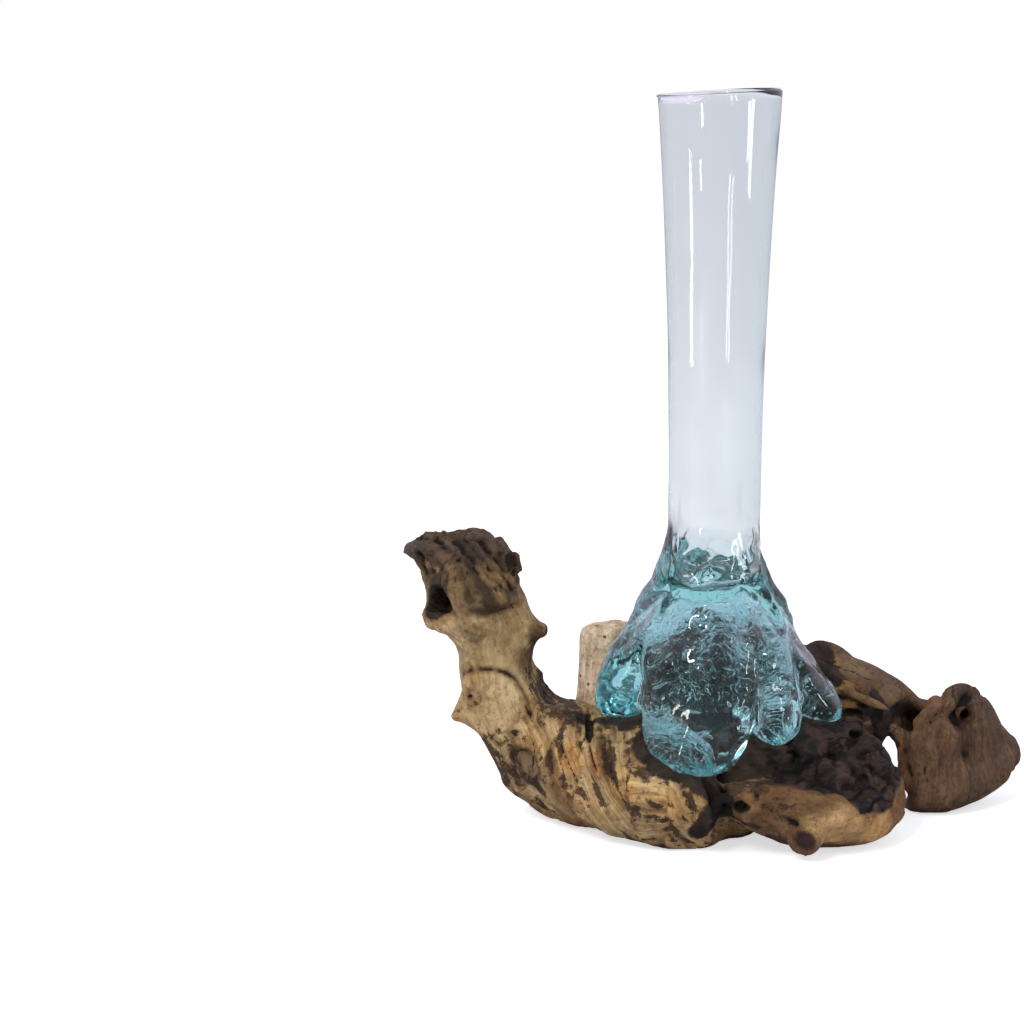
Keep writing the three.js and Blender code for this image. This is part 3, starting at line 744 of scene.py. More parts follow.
lumps = layered(wood_points / 14.0, 11, 2)
ridges = layered(fibre_bent / (7.0, 7.0, 46.0), 23, 2)
crag = layered(fibre_bent / (5.0, 5.0, 17.0), 29, 3)
fibres = along_fibres(2.9, 26.0, 31) + 0.5 * along_fibres(1.7, 15.0, 37)
split = np.abs(along_fibres(8.0, 60.0, 41) + 0.3 * along_fibres(3.0, 18.0, 43))
splits = (1.0 - between(0.0, 0.10, split)) * between(0.0, 0.5, noise(wood_points / 17.0, 47))
pebble, next_pebble = pebbles(wood_points / (14.0, 11.0, 9.0) + 0.26 * warp, 53)
blobs = between(0.0, 0.30, next_pebble - pebble) - 0.5 * pebble
small_pebble, small_next = pebbles(wood_points / (5.2, 4.4, 4.0) + 0.14 * warp, 59)
grit = between(0.0, 0.4, small_next - small_pebble)
print("points in cracks:", int((splits > 0.5).sum()))

# %% Carve
wood_normals = blur(normals_of(wood.data), wood_edges, 3)
wood_normals /= np.linalg.norm(wood_normals, axis=1)[:, None]
carving = 0.75 * lumps + 0.95 * ridges * (0.45 + 0.75 * trunk) + 0.10 * fibres
carving = carving * (1.0 - 0.72 * smooth_part)
carving += crown * (3.4 * np.abs(crag) + 0.6 * ridges - 1.3)
carving -= splits * (1.0 - 0.85 * smooth_part) * (1.0 - rotten)
rot_shape = rough_rot * (2.1 * (blobs - 0.45) + 0.9 * (grit - 0.7))
carving += rot_shape + rotten * (1.3 * lumps + np.abs(crag) - 0.5)
carving += swells - creases + knot - 0.8 * scar + 0.5 * scar_rim
carving *= between(0.4, 3.0, wood_points[:, 2])
box_margin = 0.02
low, high = np.array(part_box("root_stand")) / MM
carved = np.clip(wood_points + carving[:, None] * wood_normals, low + box_margin, high - box_margin)
carved[wood_points[:, 2] < 0.35, 2] = box_margin
put_points(wood.data, carved)
print("carved between", carving.min().round(2), "and", carving.max().round(2), "mm")


# %% [markdown]
# ## The wood: where it is dark, pale and burnt
#
# Four things colour such a root. Each limb has its own base colour. Fungus has drawn
# dark streaks along the trunk's fibres. Rot and dirt sit in the hollows. And the hot
# glass charred the wood that it touched. Painted shade is laid on as well: the hollows,
# the creases and the arm's inner corner are darkened where shade falls. Each of these
# becomes a number on every point, and the material mixes its colours by them.

# %% Helpers for colours
def paint(red, green, blue):
    """A colour as a screen shows it, from 0 to 255, made linear."""
    values = np.array((red, green, blue)) / 255.0
    return np.where(values <= 0.04045, values / 12.92, ((values + 0.055) / 1.055) ** 2.4)


def tinted(tint, colour, mask):
    return tint + (paint(*colour) - tint) * np.clip(mask, 0.0, 1.0)[:, None]


def save(mesh, name, values):
    """Writes a number or a vector for each point."""
    single = values.ndim == 1
    attribute = mesh.attributes.new(name, "FLOAT" if single else "FLOAT_VECTOR", "POINT")
    attribute.data.foreach_set("value" if single else "vector", values.astype(np.float32).ravel())


def tree_of(places, mesh):
    """A search tree over a mesh with its points at the given places."""
    faces = [tuple(face.vertices) for face in mesh.polygons]
    return BVHTree.FromPolygons([tuple(place) for place in places], faces)


# %% How far each point is from the glass
far_away = 40.0
vase_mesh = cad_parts["glass_vase"].data
vase_tree = tree_of([vertex.co / MM for vertex in vase_mesh.vertices], vase_mesh)
to_glass = np.array([(vase_tree.find_nearest(Vector(p), far_away)[3] or far_away) for p in carved])
print("points within 5 mm of the glass:", int((to_glass < 5.0).sum()))

# %% Mix each limb's base colour
limb_colours = {
    "arm": (196, 170, 126), "stub": (244, 226, 200), "knuckle": (58, 46, 38), "heel": (112, 92, 68),
    "front_root": (126, 97, 65), "side_root": (110, 78, 58), "rotten": (66, 52, 46),
    "limb": (118, 95, 72), "fin": (112, 86, 66), "fin_tip": (108, 84, 66),
}
tint = sum(limb_share[name][:, None] * paint(*limb_colours[name]) for name in limb_names)
patchy = layered(carved / 15.0, 61, 3)
mottle = layered(carved / 6.0 + 0.2 * warp, 67, 3)
print("limb colours:", len(limb_colours))

# %% Touch up single places
# Each touch: its place, its radius in millimetres, its colour and its strength.
# Some touches are painted light: the bright gold touch at the jaw's lip is a painted highlight, and the
# dark touches on the arm's right side by its knob and in the hollow below the hump are painted shade.
touches = [
    ((-138, 10, 122), 12, (92, 84, 78), 0.95), ((-127, 8, 124), 12, (78, 66, 58), 0.9),
    ((-114, 4, 127), 12, (86, 70, 62), 0.95), ((-104, 3, 124), 13, (80, 64, 54), 0.95),
    ((-92, 4, 116), 11, (84, 68, 56), 0.9), ((-108, -4, 118), 12, (92, 74, 58), 0.9),
    ((-121, 2, 113), 9, (112, 94, 68), 0.8), ((-110, -6, 109), 11, (126, 104, 68), 0.9),
    ((-99, -5, 106), 11, (104, 84, 54), 0.9), ((-97, -1, 112), 8, (96, 78, 58), 0.8),
    ((-103, -8, 99), 6, (96, 76, 48), 0.8), ((-124, -1, 93.5), 7, (214, 184, 126), 0.95),
    ((-112, -5, 93), 9, (150, 128, 88), 0.7), ((-106, -4, 88), 6, (136, 118, 82), 0.8),
    ((-96, -1, 84), 14, (172, 146, 104), 0.7), ((-88, 3, 90), 8, (182, 154, 110), 0.7),
    ((-80, 8, 85), 8, (96, 70, 50), 0.95), ((-84, 3, 74), 7, (92, 72, 50), 0.8),
    ((-99, -2, 60), 15, (206, 182, 138), 0.9), ((-107, 2, 68), 6, (176, 142, 84), 0.8),
    ((-109.5, 3, 57), 8, (162, 132, 84), 0.8), ((-116, 8, 47), 9, (176, 148, 100), 0.8),
    ((-92, -3, 45), 12, (192, 168, 124), 0.8), ((-80, -8, 38), 12, (206, 174, 120), 0.8),
    ((-90, 0, 22), 14, (176, 152, 112), 0.7), ((-66, -18, 36), 10, (204, 156, 92), 0.8),
    ((-60, -24, 22), 12, (196, 168, 124), 0.7), ((-54, -30, 38), 8, (192, 138, 80), 0.9),
    ((-44, -38, 28), 11, (206, 166, 104), 0.8), ((-40, -42, 12), 14, (188, 164, 124), 0.7),
    ((-28, -46, 24), 11, (204, 164, 106), 0.8), ((-36, -34, 40), 9, (128, 92, 58), 0.8),
    ((-18, -48, 20), 10, (198, 160, 104), 0.7), ((0, -46, 24), 9, (96, 72, 48), 0.9),
    ((8, -47, 25), 6, (132, 98, 58), 0.8), ((18, -47, 28), 9, (112, 82, 52), 0.9),
    ((32, -48, 26), 10, (118, 90, 58), 0.9), ((46, -46, 14), 13, (206, 170, 122), 0.9),
    ((36, -50, 14), 9, (196, 164, 112), 0.8), ((62, -36, 10), 12, (196, 156, 100), 0.9),
    ((14, -50, 16), 10, (112, 84, 56), 0.9), ((71, -25, 16), 7, (160, 116, 72), 0.8),
    ((50.2, 16, 66.4), 10, (148, 118, 80), 0.9), ((56.8, 15, 62), 8, (128, 96, 62), 0.8),
    ((63, 14, 55), 8, (122, 92, 58), 0.8), ((55, 12, 52), 7, (156, 122, 76), 0.9),
    ((48, 12, 60), 6, (164, 132, 84), 0.9), ((60, 22, 67), 9, (136, 114, 88), 0.7),
    ((76, 30, 58), 10, (104, 84, 70), 0.7), ((78, 19, 32), 4.6, (146, 96, 54), 0.95),
    ((82, 19, 20), 4.4, (138, 92, 54), 0.9), ((85, 18, 8), 4.4, (128, 88, 54), 0.9),
    ((88, 19, 40), 6, (118, 92, 64), 0.8), ((97, 18, 25), 12, (110, 86, 66), 0.6),
    ((122, 29, 22), 12, (112, 88, 68), 0.6), ((110, 33, 52), 8, (92, 78, 70), 0.8),
    ((108, 23, 39), 6, (74, 58, 48), 0.75), ((110, 21, 31), 7, (80, 62, 50), 0.7),
    ((101, 20, 44), 5, (132, 106, 84), 0.7),
    ((128, 30, 10), 9, (124, 92, 62), 0.7), ((132, 34, 24), 7, (116, 98, 82), 0.7),
]
for place, size, colour, strength in touches:
    away = np.linalg.norm(carved - np.array(place, float), axis=1) + 3.0 * mottle
    tint = tinted(tint, colour, strength * (1.0 - between(0.45 * size, 1.1 * size, away)))
print("touched up", len(touches), "places")

# %% Lay washes of colour over whole parts
head_border = wood_points[:, 2] - 0.25 * (wood_points[:, 0] + 100.0)
head_border += 5.0 * mottle * between(2.0, 12.0, wood_points[:, 1])
upper_head = head * between(97.0, 101.0, head_border)
head_shade = np.clip(0.78 + 0.35 * patchy + 0.3 * mottle, 0.0, 1.0)
head_patch = along_fibres(5.0, 9.0, 97) + 0.7 * along_fibres(2.2, 5.0, 99)
crest = between(114.0, 122.0, wood_points[:, 2] + 3.0 * patchy) * head
wash = along_fibres(8.0, 20.0, 91) + 0.7 * along_fibres(3.4, 8.0, 93)
stub_foot = limb_share["stub"] * between(34.0, 22.0, wood_points[:, 2] + 5.0 * mottle)
sawn_edge = 1.5 * near_spot((29.4, -54.0, 8.6), 10.5) * limb_share["side_root"]
for colour, mask in (
    ((104, 86, 60), upper_head * head_shade),
    ((66, 50, 36), 0.85 * upper_head * between(0.0, 0.5, head_patch)),
    ((162, 134, 92), 0.7 * upper_head * between(0.15, 0.6, -head_patch)),
    ((84, 70, 62), 0.85 * crest),
    ((96, 90, 84), 0.8 * near_spot((-135, 10, 124), 10.0)),
    ((122, 88, 54), 0.8 * trunk * between(-0.1, 0.75, wash)),
    ((200, 134, 76), 0.34 * trunk * between(0.35, 0.9, along_fibres(6.0, 14.0, 95))),
    ((150, 122, 88), 0.8 * stub_foot),
    ((122, 102, 76), 0.95 * scar),
    ((84, 66, 46), 0.8 * scar_rim),
    ((122, 86, 62), sawn_edge),
    ((62, 44, 37), in_hole("side_bore", 1.34)),
    ((72, 56, 50), rotten),
):
    tint = tinted(tint, colour, mask)
tint = tint * (1.0 + 0.14 * patchy + 0.20 * mottle)[:, None]
print("mean tint:", tint.mean(axis=0).round(3))

# %% Spread the dark streaks and paint shade into the corners and creases
streak = 0.9 * along_fibres(6.0, 19.0, 71) + 0.7 * along_fibres(2.6, 9.0, 73)
streak += 0.5 * along_fibres(1.5, 4.5, 75) + 0.35 * noise(wood_points / 2.4, 77)
where_stained = trunk * between(-0.65, 0.15, noise(wood_points / (15.0, 15.0, 11.0), 81) + 0.25)
root_left = limb_share["front_root"] * between(44.0, 20.0, wood_points[:, 0])
root_streak = noise(wood_points / (4.5, 4.5, 3.0), 85) + 0.3 * streak
# Breaks up the painted shade on the arm's right side and in the elbow's scoop along the fibres.
ragged_corner_shade = 0.5 + 0.6 * between(-0.5, 0.4, streak)
ragged_edge = between(-0.35, 0.35, streak)
streaky_spots = {
    (-51.5, -34, 35.5): 7.0, (-47.4, -37.5, 32.2): 6.0, (-31.8, -47, 26.3): 8.0, (-68.0, -17.0, 32.0): 5.0,
    (-39.7, -40, 19): 6.0, (-21.1, -46, 17): 7.0, (-15, -49, 26): 8.0, (-38, -44, 30): 5.0,
    (-60.0, -24.0, 22.0): 5.0, (-70.0, -16.0, 24.0): 4.0, (-86.9, -4.8, 48.5): 3.4,
    (-90.4, -3.8, 43.3): 3.6, (-85.2, -6.7, 42): 3.8, (-82, -7, 45): 3.0, (-104, -1, 84): 4.0,
}
stain_and_shade_parts = [where_stained * between(-0.08, 0.62, streak)]
stain_and_shade_parts += [1.5 * near_spot(spot, size) * ragged_edge for spot, size in streaky_spots.items()]
# Painted shade is mixed in here: the two paths down the arm's right side, the elbow's scoop, the spot on
# the arm's knob, the limb folds and the front groove are darkened where shade falls. The other entries are
# stains and the knot's dark spots.
stain_and_shade_parts += [
    1.3 * ragged_corner_shade * near_path([(-84, 8, 80), (-82, 6, 66), (-76, 0, 55), (-67, -7, 48.5)], 8.0),
    1.4 * ragged_corner_shade * near_path([(-79, 4, 60), (-71, 0, 52), (-61, -5, 49)], 8.5),
    1.2 * ragged_corner_shade * in_hole("elbow_scoop", 1.25),
    0.8 * near_path([(-99, 4, 36), (-94, 0, 27), (-88, -1, 20)], 5.0),
    0.7 * near_any(limb_folds, 3.4),
    0.6 * near_spot((-79, 9, 86), 5.0),
    near_spot((-110, 2.6, 57.8), 3.0),
    near_spot((-107.6, 1.4, 55.2), 2.6),
    0.9 * near_path(front_groove, 3.0),
    0.75 * root_left * between(-0.1, 0.6, root_streak),
]
stain_and_shade = np.max(stain_and_shade_parts, axis=0)
print("stained:", round(float(stain_and_shade.mean()), 3))

# %% Char what the glass touched
# Each burn: its strength, its width and its path.
burns = [
    (1.0, 9.0, [(-66, -3, 50), (-52, -6, 50), (-40, -8, 52)]),
    (1.6, 9.5, [(-14, -46, 38), (-7, -45, 30), (-5, -43, 25), (-9, -45, 19), (-12, -42, 9)]),
    (1.4, 9.0, [(-1, -28, 29), (4, -30, 32), (9, -30, 33), (8, -29, 39)]),
    (1.4, 10.5, [(38, 32, 74), (43, 27, 73), (46, 17, 70), (49, 12.5, 65)]),
    (1.3, 6.0, [(62, 13, 47), (67, 14, 50), (70, 16, 42)]),
    (1.3, 6.5, [(68, 17.5, 54), (72, 17.5, 46.5), (71.5, 18, 36), (77, 19, 32)]),
    (1.4, 6.5, [(73, 18, 46), (79, 20, 44), (84, 28, 45), (90, 34, 39)]),
    (1.1, 7.0, [(68, 16, 50), (72, 16, 44), (76, 22, 44), (80, 24, 46)]),
    (1.5, 9.5, [(7, -33, 37), (13, -33, 37), (20, -33, 38), (26, -32, 40)]),
]
chars = [1.0 - between(1.5, 9.0, to_glass + 4.0 * layered(carved / 6.0, 79, 3))]
chars += [strength * near_path(path, width) for strength, width, path in burns]
chars += [0.95 * rotten * between(-0.35, 0.35, layered(carved / 7.0, 83, 2) + 0.1)]
char = np.max(chars, axis=0) * (1.0 - 0.9 * limb_share["stub"])
print("charred:", round(float(char.mean()), 3))

# %% Paint shade and dirt into the hollows, and wear the edges
soft_holes = ("jaw", "nub_hole")
open_places = ("floor_gap", "elbow_scoop", "side_bore")
# Painted shade and dirt: the insides of the holes, the hump's fold and mouth and all concave places are
# darkened in the colour.
painted_hole_shade = [in_hole(name, 1.15) for name in wood_holes if name not in soft_holes + open_places]
painted_hole_shade += [0.72 * in_hole(name, 1.5) for name in soft_holes]
painted_hole_shade += [0.66 * near_path(hump_fold, 5.6), 0.30 * near_path(hump_mouth, 11.0)]
deep = np.einsum("ij,ij->i", blur(carved, wood_edges, 26) - carved, wood_normals)
deep_fine = np.einsum("ij,ij->i", blur(carved, wood_edges, 6) - carved, wood_normals)
hollow_shade_and_dirt = between(0.25, 2.2, deep) + 0.8 * between(0.06, 0.5, deep_fine)
hollow_shade_and_dirt = np.clip(np.maximum(hollow_shade_and_dirt, 1.3 * np.max(painted_hole_shade, axis=0)), 0.0, 1.0)
streaky = 0.16 + 0.50 * trunk + 0.3 * limb_share["stub"] + 0.1 * limb_share["limb"]
streaky += 0.55 * (limb_share["fin"] + limb_share["fin_tip"]) + 0.2 * head
print("hollow:", round(float(hollow_shade_and_dirt.mean()), 3), "streaky:", round(float(streaky.mean()), 3))

# %% Write the numbers on the skin
numbers = {
    "fibre": fibre_bent,
    "tint": tint,
    "stain_and_shade": blur(stain_and_shade, wood_edges, 1),
    "char": blur(char, wood_edges, 1),
    "hollow_shade_and_dirt": hollow_shade_and_dirt,
    "pale": limb_share["stub"],
    "crease_shade": painted_crease_shade,
    "worn": between(0.10, 0.55, -deep_fine),
    "streaky": streaky,
}
for name, values in numbers.items():
    save(wood.data, name, values)
print("written:", list(numbers))

# %% [markdown]
# ## The wood: its finish
#
# The material works at every size that the mesh can't hold. A node group draws the
# fibres: noise that is squeezed across the fibre and stretched along it, once fine and
# once broad. The same group gives the colour its streaks and the bump its ridges, so
# that light and colour agree.

# %% Build the fibre group
fibre_group = bpy.data.node_groups.new("wood_fibre", "ShaderNodeTree")
fibre_group.interface.new_socket("Fibre", in_out="INPUT", socket_type="NodeSocketVector")
fibre_group.interface.new_socket("Tone", in_out="OUTPUT", socket_type="NodeSocketFloat")
fibre_group.interface.new_socket("Height", in_out="OUTPUT", socket_type="NodeSocketFloat")
inside = fibre_group.nodes.new("NodeGroupInput").outputs["Fibre"]
outside = fibre_group.nodes.new("NodeGroupOutput")
nodes = Nodes(fibre_group)


def threads(scale, detail, roughness, distortion):
    stretch = nodes.add("Mapping")
    stretch.inputs["Scale"].default_value = scale
    nodes.fill(stretch.inputs, [inside])
    return nodes.speckle(stretch.outputs["Vector"], 1.0, detail, roughness, distortion)


fine = threads((0.75, 0.75, 0.045), 5.0, 0.62, 0.25)
broad = threads((0.20, 0.20, 0.020), 3.0, 0.55, 0.6)
half_fine, half_broad = nodes.maths(MULTIPLY, fine, 0.5), nodes.maths(MULTIPLY, broad, 0.5)
tone = nodes.mapped(nodes.maths(ADD, half_fine, half_broad), 0.36, 0.64)
nodes.fill(outside.inputs, [tone, fine])
print("fibre group:", len(fibre_group.nodes), "nodes")

# %% Begin the wood's material
wood_look = bpy.data.materials.new("weathered_root")
wood_look.use_nodes = True
shader = wood_look.node_tree.nodes["Principled BSDF"]
nodes = Nodes(wood_look.node_tree)


def read(name, output="Fac"):
    return nodes.add("Attribute", attribute_name=name).outputs[output]


def times(first, second):
    return nodes.maths(MULTIPLY, first, second)


def plus(first, second):
    return nodes.maths(ADD, first, second)


def around_zero(value):
    return nodes.maths(SUBTRACT, value, 0.5)


def darker(colour, factor, by):
    return nodes.mixed(factor, colour, nodes.mixed(1.0, colour, by, MULTIPLY))


fibres_node = nodes.add("Group", node_tree=fibre_group)
nodes.fill(fibres_node.inputs, [read("fibre", "Vector")])
tone, thread = fibres_node.outputs["Tone"], fibres_node.outputs["Height"]
place = nodes.add("TexCoord").outputs["Object"]
grit_fine = nodes.speckle(place, 1300.0, 3.0, 0.7)
grit_wide = nodes.speckle(place, 420.0, 5.0, 0.65, 0.3)
cloud = nodes.speckle(place, 95.0, 6.0, 0.66, 0.6)
print("fibres, grit and clouds:", len(nodes.tree.nodes), "nodes")

# %% Colour: fibres, clouds, pores, worn edges and painted shade in the creases
streaked = nodes.mixed(tone, (0.44, 0.37, 0.31), (1.34, 1.32, 1.26))
plain = nodes.mixed(tone, (0.80, 0.77, 0.73), (1.10, 1.10, 1.08))
shade = nodes.mixed(read("streaky"), plain, streaked)
colour = nodes.mixed(1.0, read("tint", "Color"), shade, MULTIPLY)
colour = darker(colour, nodes.mapped(cloud, 0.42, 0.66, 0.0, 0.75), (0.62, 0.52, 0.40))
colour = darker(colour, nodes.mapped(grit_wide, 0.50, 0.68, 0.0, 0.75), (0.50, 0.41, 0.34))
colour = darker(colour, nodes.mapped(grit_fine, 0.58, 0.72, 0.0, 0.45), (0.50, 0.44, 0.38))
paler = nodes.mixed(1.0, colour, (1.45, 1.40, 1.32), MULTIPLY)
colour = nodes.mixed(times(read("worn"), 0.35), colour, paler)
# Painted shade darkens the creases.
colour = darker(colour, times(read("crease_shade"), 0.9), (0.30, 0.22, 0.15))
print("with the plain wood's colour:", len(nodes.tree.nodes), "nodes")

# %% Colour: stains with painted shade, char, and painted shade and dirt in the hollows
ragged = times(around_zero(thread), 1.9)
ragged = plus(ragged, times(around_zero(grit_wide), 1.7))
ragged = plus(ragged, times(around_zero(grit_fine), 1.1))
# The stains also carry painted shade from the corners and creases.
stain_and_shade_mix = nodes.mapped(plus(read("stain_and_shade"), ragged), 0.36, 0.76, 0.0, 0.93)
colour = nodes.mixed(stain_and_shade_mix, colour, nodes.mixed(tone, paint(20, 15, 14), paint(80, 58, 40)))
ash = times(plus(around_zero(cloud), around_zero(grit_wide)), 0.9)
charred = nodes.mapped(plus(read("char"), ash), 0.34, 0.72, 0.0, 0.97)
soot = nodes.mixed(nodes.mapped(cloud, 0.36, 0.66), paint(8, 7, 7), paint(62, 48, 42))
colour = nodes.mixed(charred, colour, soot)
# Painted shade and dirt darken the hollows.
colour = nodes.mixed(nodes.mapped(read("hollow_shade_and_dirt"), 0.12, 0.85, 0.0, 0.92), colour, paint(24, 17, 14))
print("with stains and char:", len(nodes.tree.nodes), "nodes")

# %% Colour: worm holes in the pale stub
worm = nodes.add("TexVoronoi")
worm.inputs["Scale"].default_value = 165.0
nodes.fill(worm.inputs, [place])
worm_hole = nodes.mapped(worm.outputs["Distance"], 0.10, 0.14, 1.0, 0.0)
worm_hole = times(worm_hole, nodes.mapped(read("pale"), 0.6, 0.9))
colour = nodes.mixed(times(worm_hole, 0.85), colour, paint(52, 38, 30))
print("with worm holes:", len(nodes.tree.nodes), "nodes")

# %% Gloss and relief
rough = plus(nodes.mapped(tone, 0.0, 1.0, 0.46, 0.66), times(grit_wide, 0.12))
rough = plus(rough, times(charred, 0.06))
relief = times(thread, nodes.mapped(read("streaky"), 0.2, 1.0, 0.25, 1.05))
relief = plus(relief, times(grit_wide, 0.70))
relief = plus(relief, times(grit_fine, 0.22))
relief = nodes.maths(SUBTRACT, relief, times(worm_hole, 1.2))
relief = nodes.maths(SUBTRACT, relief, times(stain_and_shade_mix, 0.25))


def finish_piece(piece, look, relief, depth):
    """Bumps a look by its relief, puts it on a piece and smooths the shading."""
    bump = nodes.add("Bump")
    bump.inputs["Strength"].default_value = 1.0
    bump.inputs["Distance"].default_value = depth
    nodes.fill([bump.inputs["Height"], shader.inputs["Normal"]], [relief, bump.outputs["Normal"]])
    piece.data.materials.clear()
    piece.data.materials.append(look)
    only(piece)
    bpy.ops.object.shade_smooth()
    triangles = sum(len(face.vertices) - 2 for face in piece.data.polygons)
    print(piece.name, "has", triangles, "triangles")


nodes.fill([shader.inputs["Base Color"], shader.inputs["Roughness"]], [colour, rough])
shader.inputs["Specular IOR Level"].default_value = 0.30
finish_piece(wood, wood_look, relief, 0.0013)
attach(wood, "stand")
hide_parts("root_stand")

# %% [markdown]
# ## The glass: a bottle is spun
#
# The vase began as a plain blown bottle with a heavy bottom, so the model begins the
# same way. Its section is drawn once: up the inside, over the round lip, down the
# outside, round the hem and back under the bottom to the middle. Then it is spun
# round the neck's axis. The rows keep their order, so each one can be told to slump
# later.

# %% Sizes of the vase
# The same values as the solid model's, in millimetres and from the crown of the wood.
crown_height = 96.0
axis_x, axis_y = -5.06, 0.63
vase_height, rim_radius, neck_radius, neck_flare = 222.0, 26.0, 19.7, 1.9
waist_height, shoulder_height = 54.0, 41.0
wall, floor_height, floor_rounding = 2.2, 10.0, 9.0
hem_thickness, hem_rounding = 19.0, 6.0
skirt_reach, skirt_slope, valley_reach, valley_drop = 48.0, 1.75, 38.0, 33.0
rim_slant = 0.054
under_rise, flat_floor = 14.0, 9.5


def outside_radius(height):
    rise = np.clip((height - waist_height) / (vase_height - waist_height), 0.0, 1.0)
    return neck_radius + (rim_radius - neck_radius) * rise**neck_flare


print("radius at mid neck:", round(float(outside_radius(vase_height / 2)), 1), "mm")

# %% Draw the section
# Each row of the section: its kind, its share of the way, its radius and its height.
rows = []


def draw(kind, shares, shape, first=0.0):
    """Adds a row for each share, with the radius and height that the shape gives."""
    for share in shares:
        rows.append((kind, first + share, *shape(share)))


def floor_edge(share):
    turn = share * math.pi / 2
    radius = neck_radius - wall - floor_rounding * (1.0 - math.sin(turn))
    return radius, floor_height + floor_rounding * (1.0 - math.cos(turn))


def lip(share):
    turn = math.pi * (1.0 - share)
    middle = outside_radius(vase_height) - wall / 2
    return middle + wall / 2 * math.cos(turn), vase_height - wall / 2 + wall / 2 * math.sin(turn)


def plain_skirt(share):
    spread = math.sin(math.pi / 2 * share**skirt_slope)
    height = shoulder_height - (shoulder_height + valley_drop) * share
    return neck_radius + (skirt_reach - neck_radius) * spread, height


def hem(share):
    turn = math.pi * share
    radius = skirt_reach - hem_thickness / 2 * (1.0 - math.cos(turn))
    return radius, -valley_drop - hem_rounding * math.sin(turn)


def under(share):
    return (skirt_reach - hem_thickness) * (1.0 - share), -valley_drop + under_rise * share


draw("floor", np.linspace(0.0, 1.0, 15)[1:], lambda share: (share * flat_floor, floor_height))
draw("floor", np.linspace(0.0, 1.0, 12)[1:], floor_edge, first=1.0)
for height in np.linspace(floor_height + floor_rounding, vase_height - wall / 2, 64)[1:]:
    rows.append(("bore", height / vase_height, outside_radius(height) - wall, height))
draw("lip", np.linspace(0.0, 1.0, 10)[1:-1], lip)
for height in np.linspace(vase_height - wall / 2, shoulder_height, 64)[:-1]:
    rows.append(("neck", height / vase_height, outside_radius(height), height))
draw("skirt", np.linspace(0.0, 1.0, 76), plain_skirt)
draw("hem", np.linspace(0.0, 1.0, 18)[1:], hem)
draw("under", np.linspace(0.0, 1.0, 18)[1:-1], under)
section_places = np.array([row[2:] for row in rows])
section = [(0.0, floor_height), *section_places, (0.0, -valley_drop + under_rise)]
print("section:", len(section), "points")

# %% Spin it
sides = 240
vase = new_piece(
    "blown_vase",
    [(axis_x + r, axis_y, crown_height + h) for r, h in section],
    [(k, k + 1) for k in range(len(section) - 1)],
    [],
)
open_mesh(vase)
bpy.ops.mesh.spin(
    steps=sides, angle=math.tau, center=(axis_x * MM, axis_y * MM, 0.0), axis=(0.0, 0.0, 1.0),
)
bpy.ops.mesh.select_all(action="SELECT")
bpy.ops.mesh.remove_doubles(threshold=same_place)
bpy.ops.mesh.normals_make_consistent(inside=False)
close_mesh()
print("spun bottle:", len(vase.data.vertices), "points")

# %% [markdown]
# ## The glass: the bottle slumps
#
# The hot skirt ran down in seven lobes, further where the wood let it. A lobe has a
# direction, a width, a reach from the axis and a drop below the crown. The front one
# is the longest, because nothing held it up there. Hand work leaves the neck a little
# uneven and thicker on its right side, and the running glass leaves folds.

# %% The lobes
# Direction and half width in degrees, reach, drop, slope and how blunt the lobe is.
lobes = [
    (256, 36, 51, 62, 1.3, 0.42), (310, 19, 48, 51, 1.6, 0.6), (352, 23, 56, 49, 2.4, 0.7),
    (42, 27, 46, 43, 1.7, 0.55), (97, 29, 45, 56, 1.4, 0.5), (150, 24, 45, 42, 1.8, 0.6),
    (197, 23, 53, 43, 1.75, 0.6),
]
compass = np.arange(720) / 2.0
hem_reach = np.full(720, valley_reach)
hem_drop = np.full(720, valley_drop - hem_rounding)
hem_slope = np.full(720, skirt_slope)


def turned_from(degrees, direction):
    """How many degrees a direction is off another one, from 0 to 180."""
    return np.abs((degrees - direction + 540.0) % 360.0 - 180.0)


for angle, half_width, reach, drop, slope, blunt in lobes:
    away = turned_from(compass, angle) / half_width
    swell = np.clip(1.0 - away * away, 0.0, 1.0) ** blunt
    hem_reach = np.maximum(hem_reach, valley_reach + (reach - valley_reach) * swell)
    hem_drop = np.maximum(hem_drop, valley_drop + (drop - valley_drop) * swell - hem_rounding)
    hem_slope = hem_slope + (slope - skirt_slope) * swell
bell = np.exp(-0.5 * (np.arange(-16, 17) / 5.0) ** 2)
bell /= bell.sum()
print("lobes:", len(lobes), "the longest drops", hem_drop.max() + hem_rounding, "mm")

# %% Which row and direction each point has
flat = points_of(vase.data)
from_axis = flat[:, :2] - (axis_x, axis_y)
radius = np.linalg.norm(from_axis, axis=1)
height = flat[:, 2] - crown_height
turn = np.arctan2(from_axis[:, 1], from_axis[:, 0])
degrees = np.degrees(turn) % 360.0
row_of = np.empty(len(flat), int)
for start in range(0, len(flat), 4000):
    part = slice(start, start + 4000)
    gap = np.hypot(radius[part, None] - section_places[:, 0], height[part, None] - section_places[:, 1])
    row_of[part] = gap.argmin(axis=1)
kind = np.array([row[0] for row in rows])[row_of]
share = np.array([row[1] for row in rows])[row_of]
pole = radius < 0.01
print({str(name): int((kind == name).sum()) for name in np.unique(kind)})


# %% Let the skirt run
def around(values):
    """Rounds the lobes' corners off and looks each point's direction up."""
    values = np.convolve(np.concatenate([values[-16:], values, values[:16]]), bell, "valid")
    return np.interp(degrees, np.append(compass, 360.0), np.append(values, values[0]))


reach, drop, slope = around(hem_reach), around(hem_drop), around(hem_slope)
facing = turned_from(degrees, 270.0)
front_lobe = 1.0 - between(38.0, 72.0, facing)


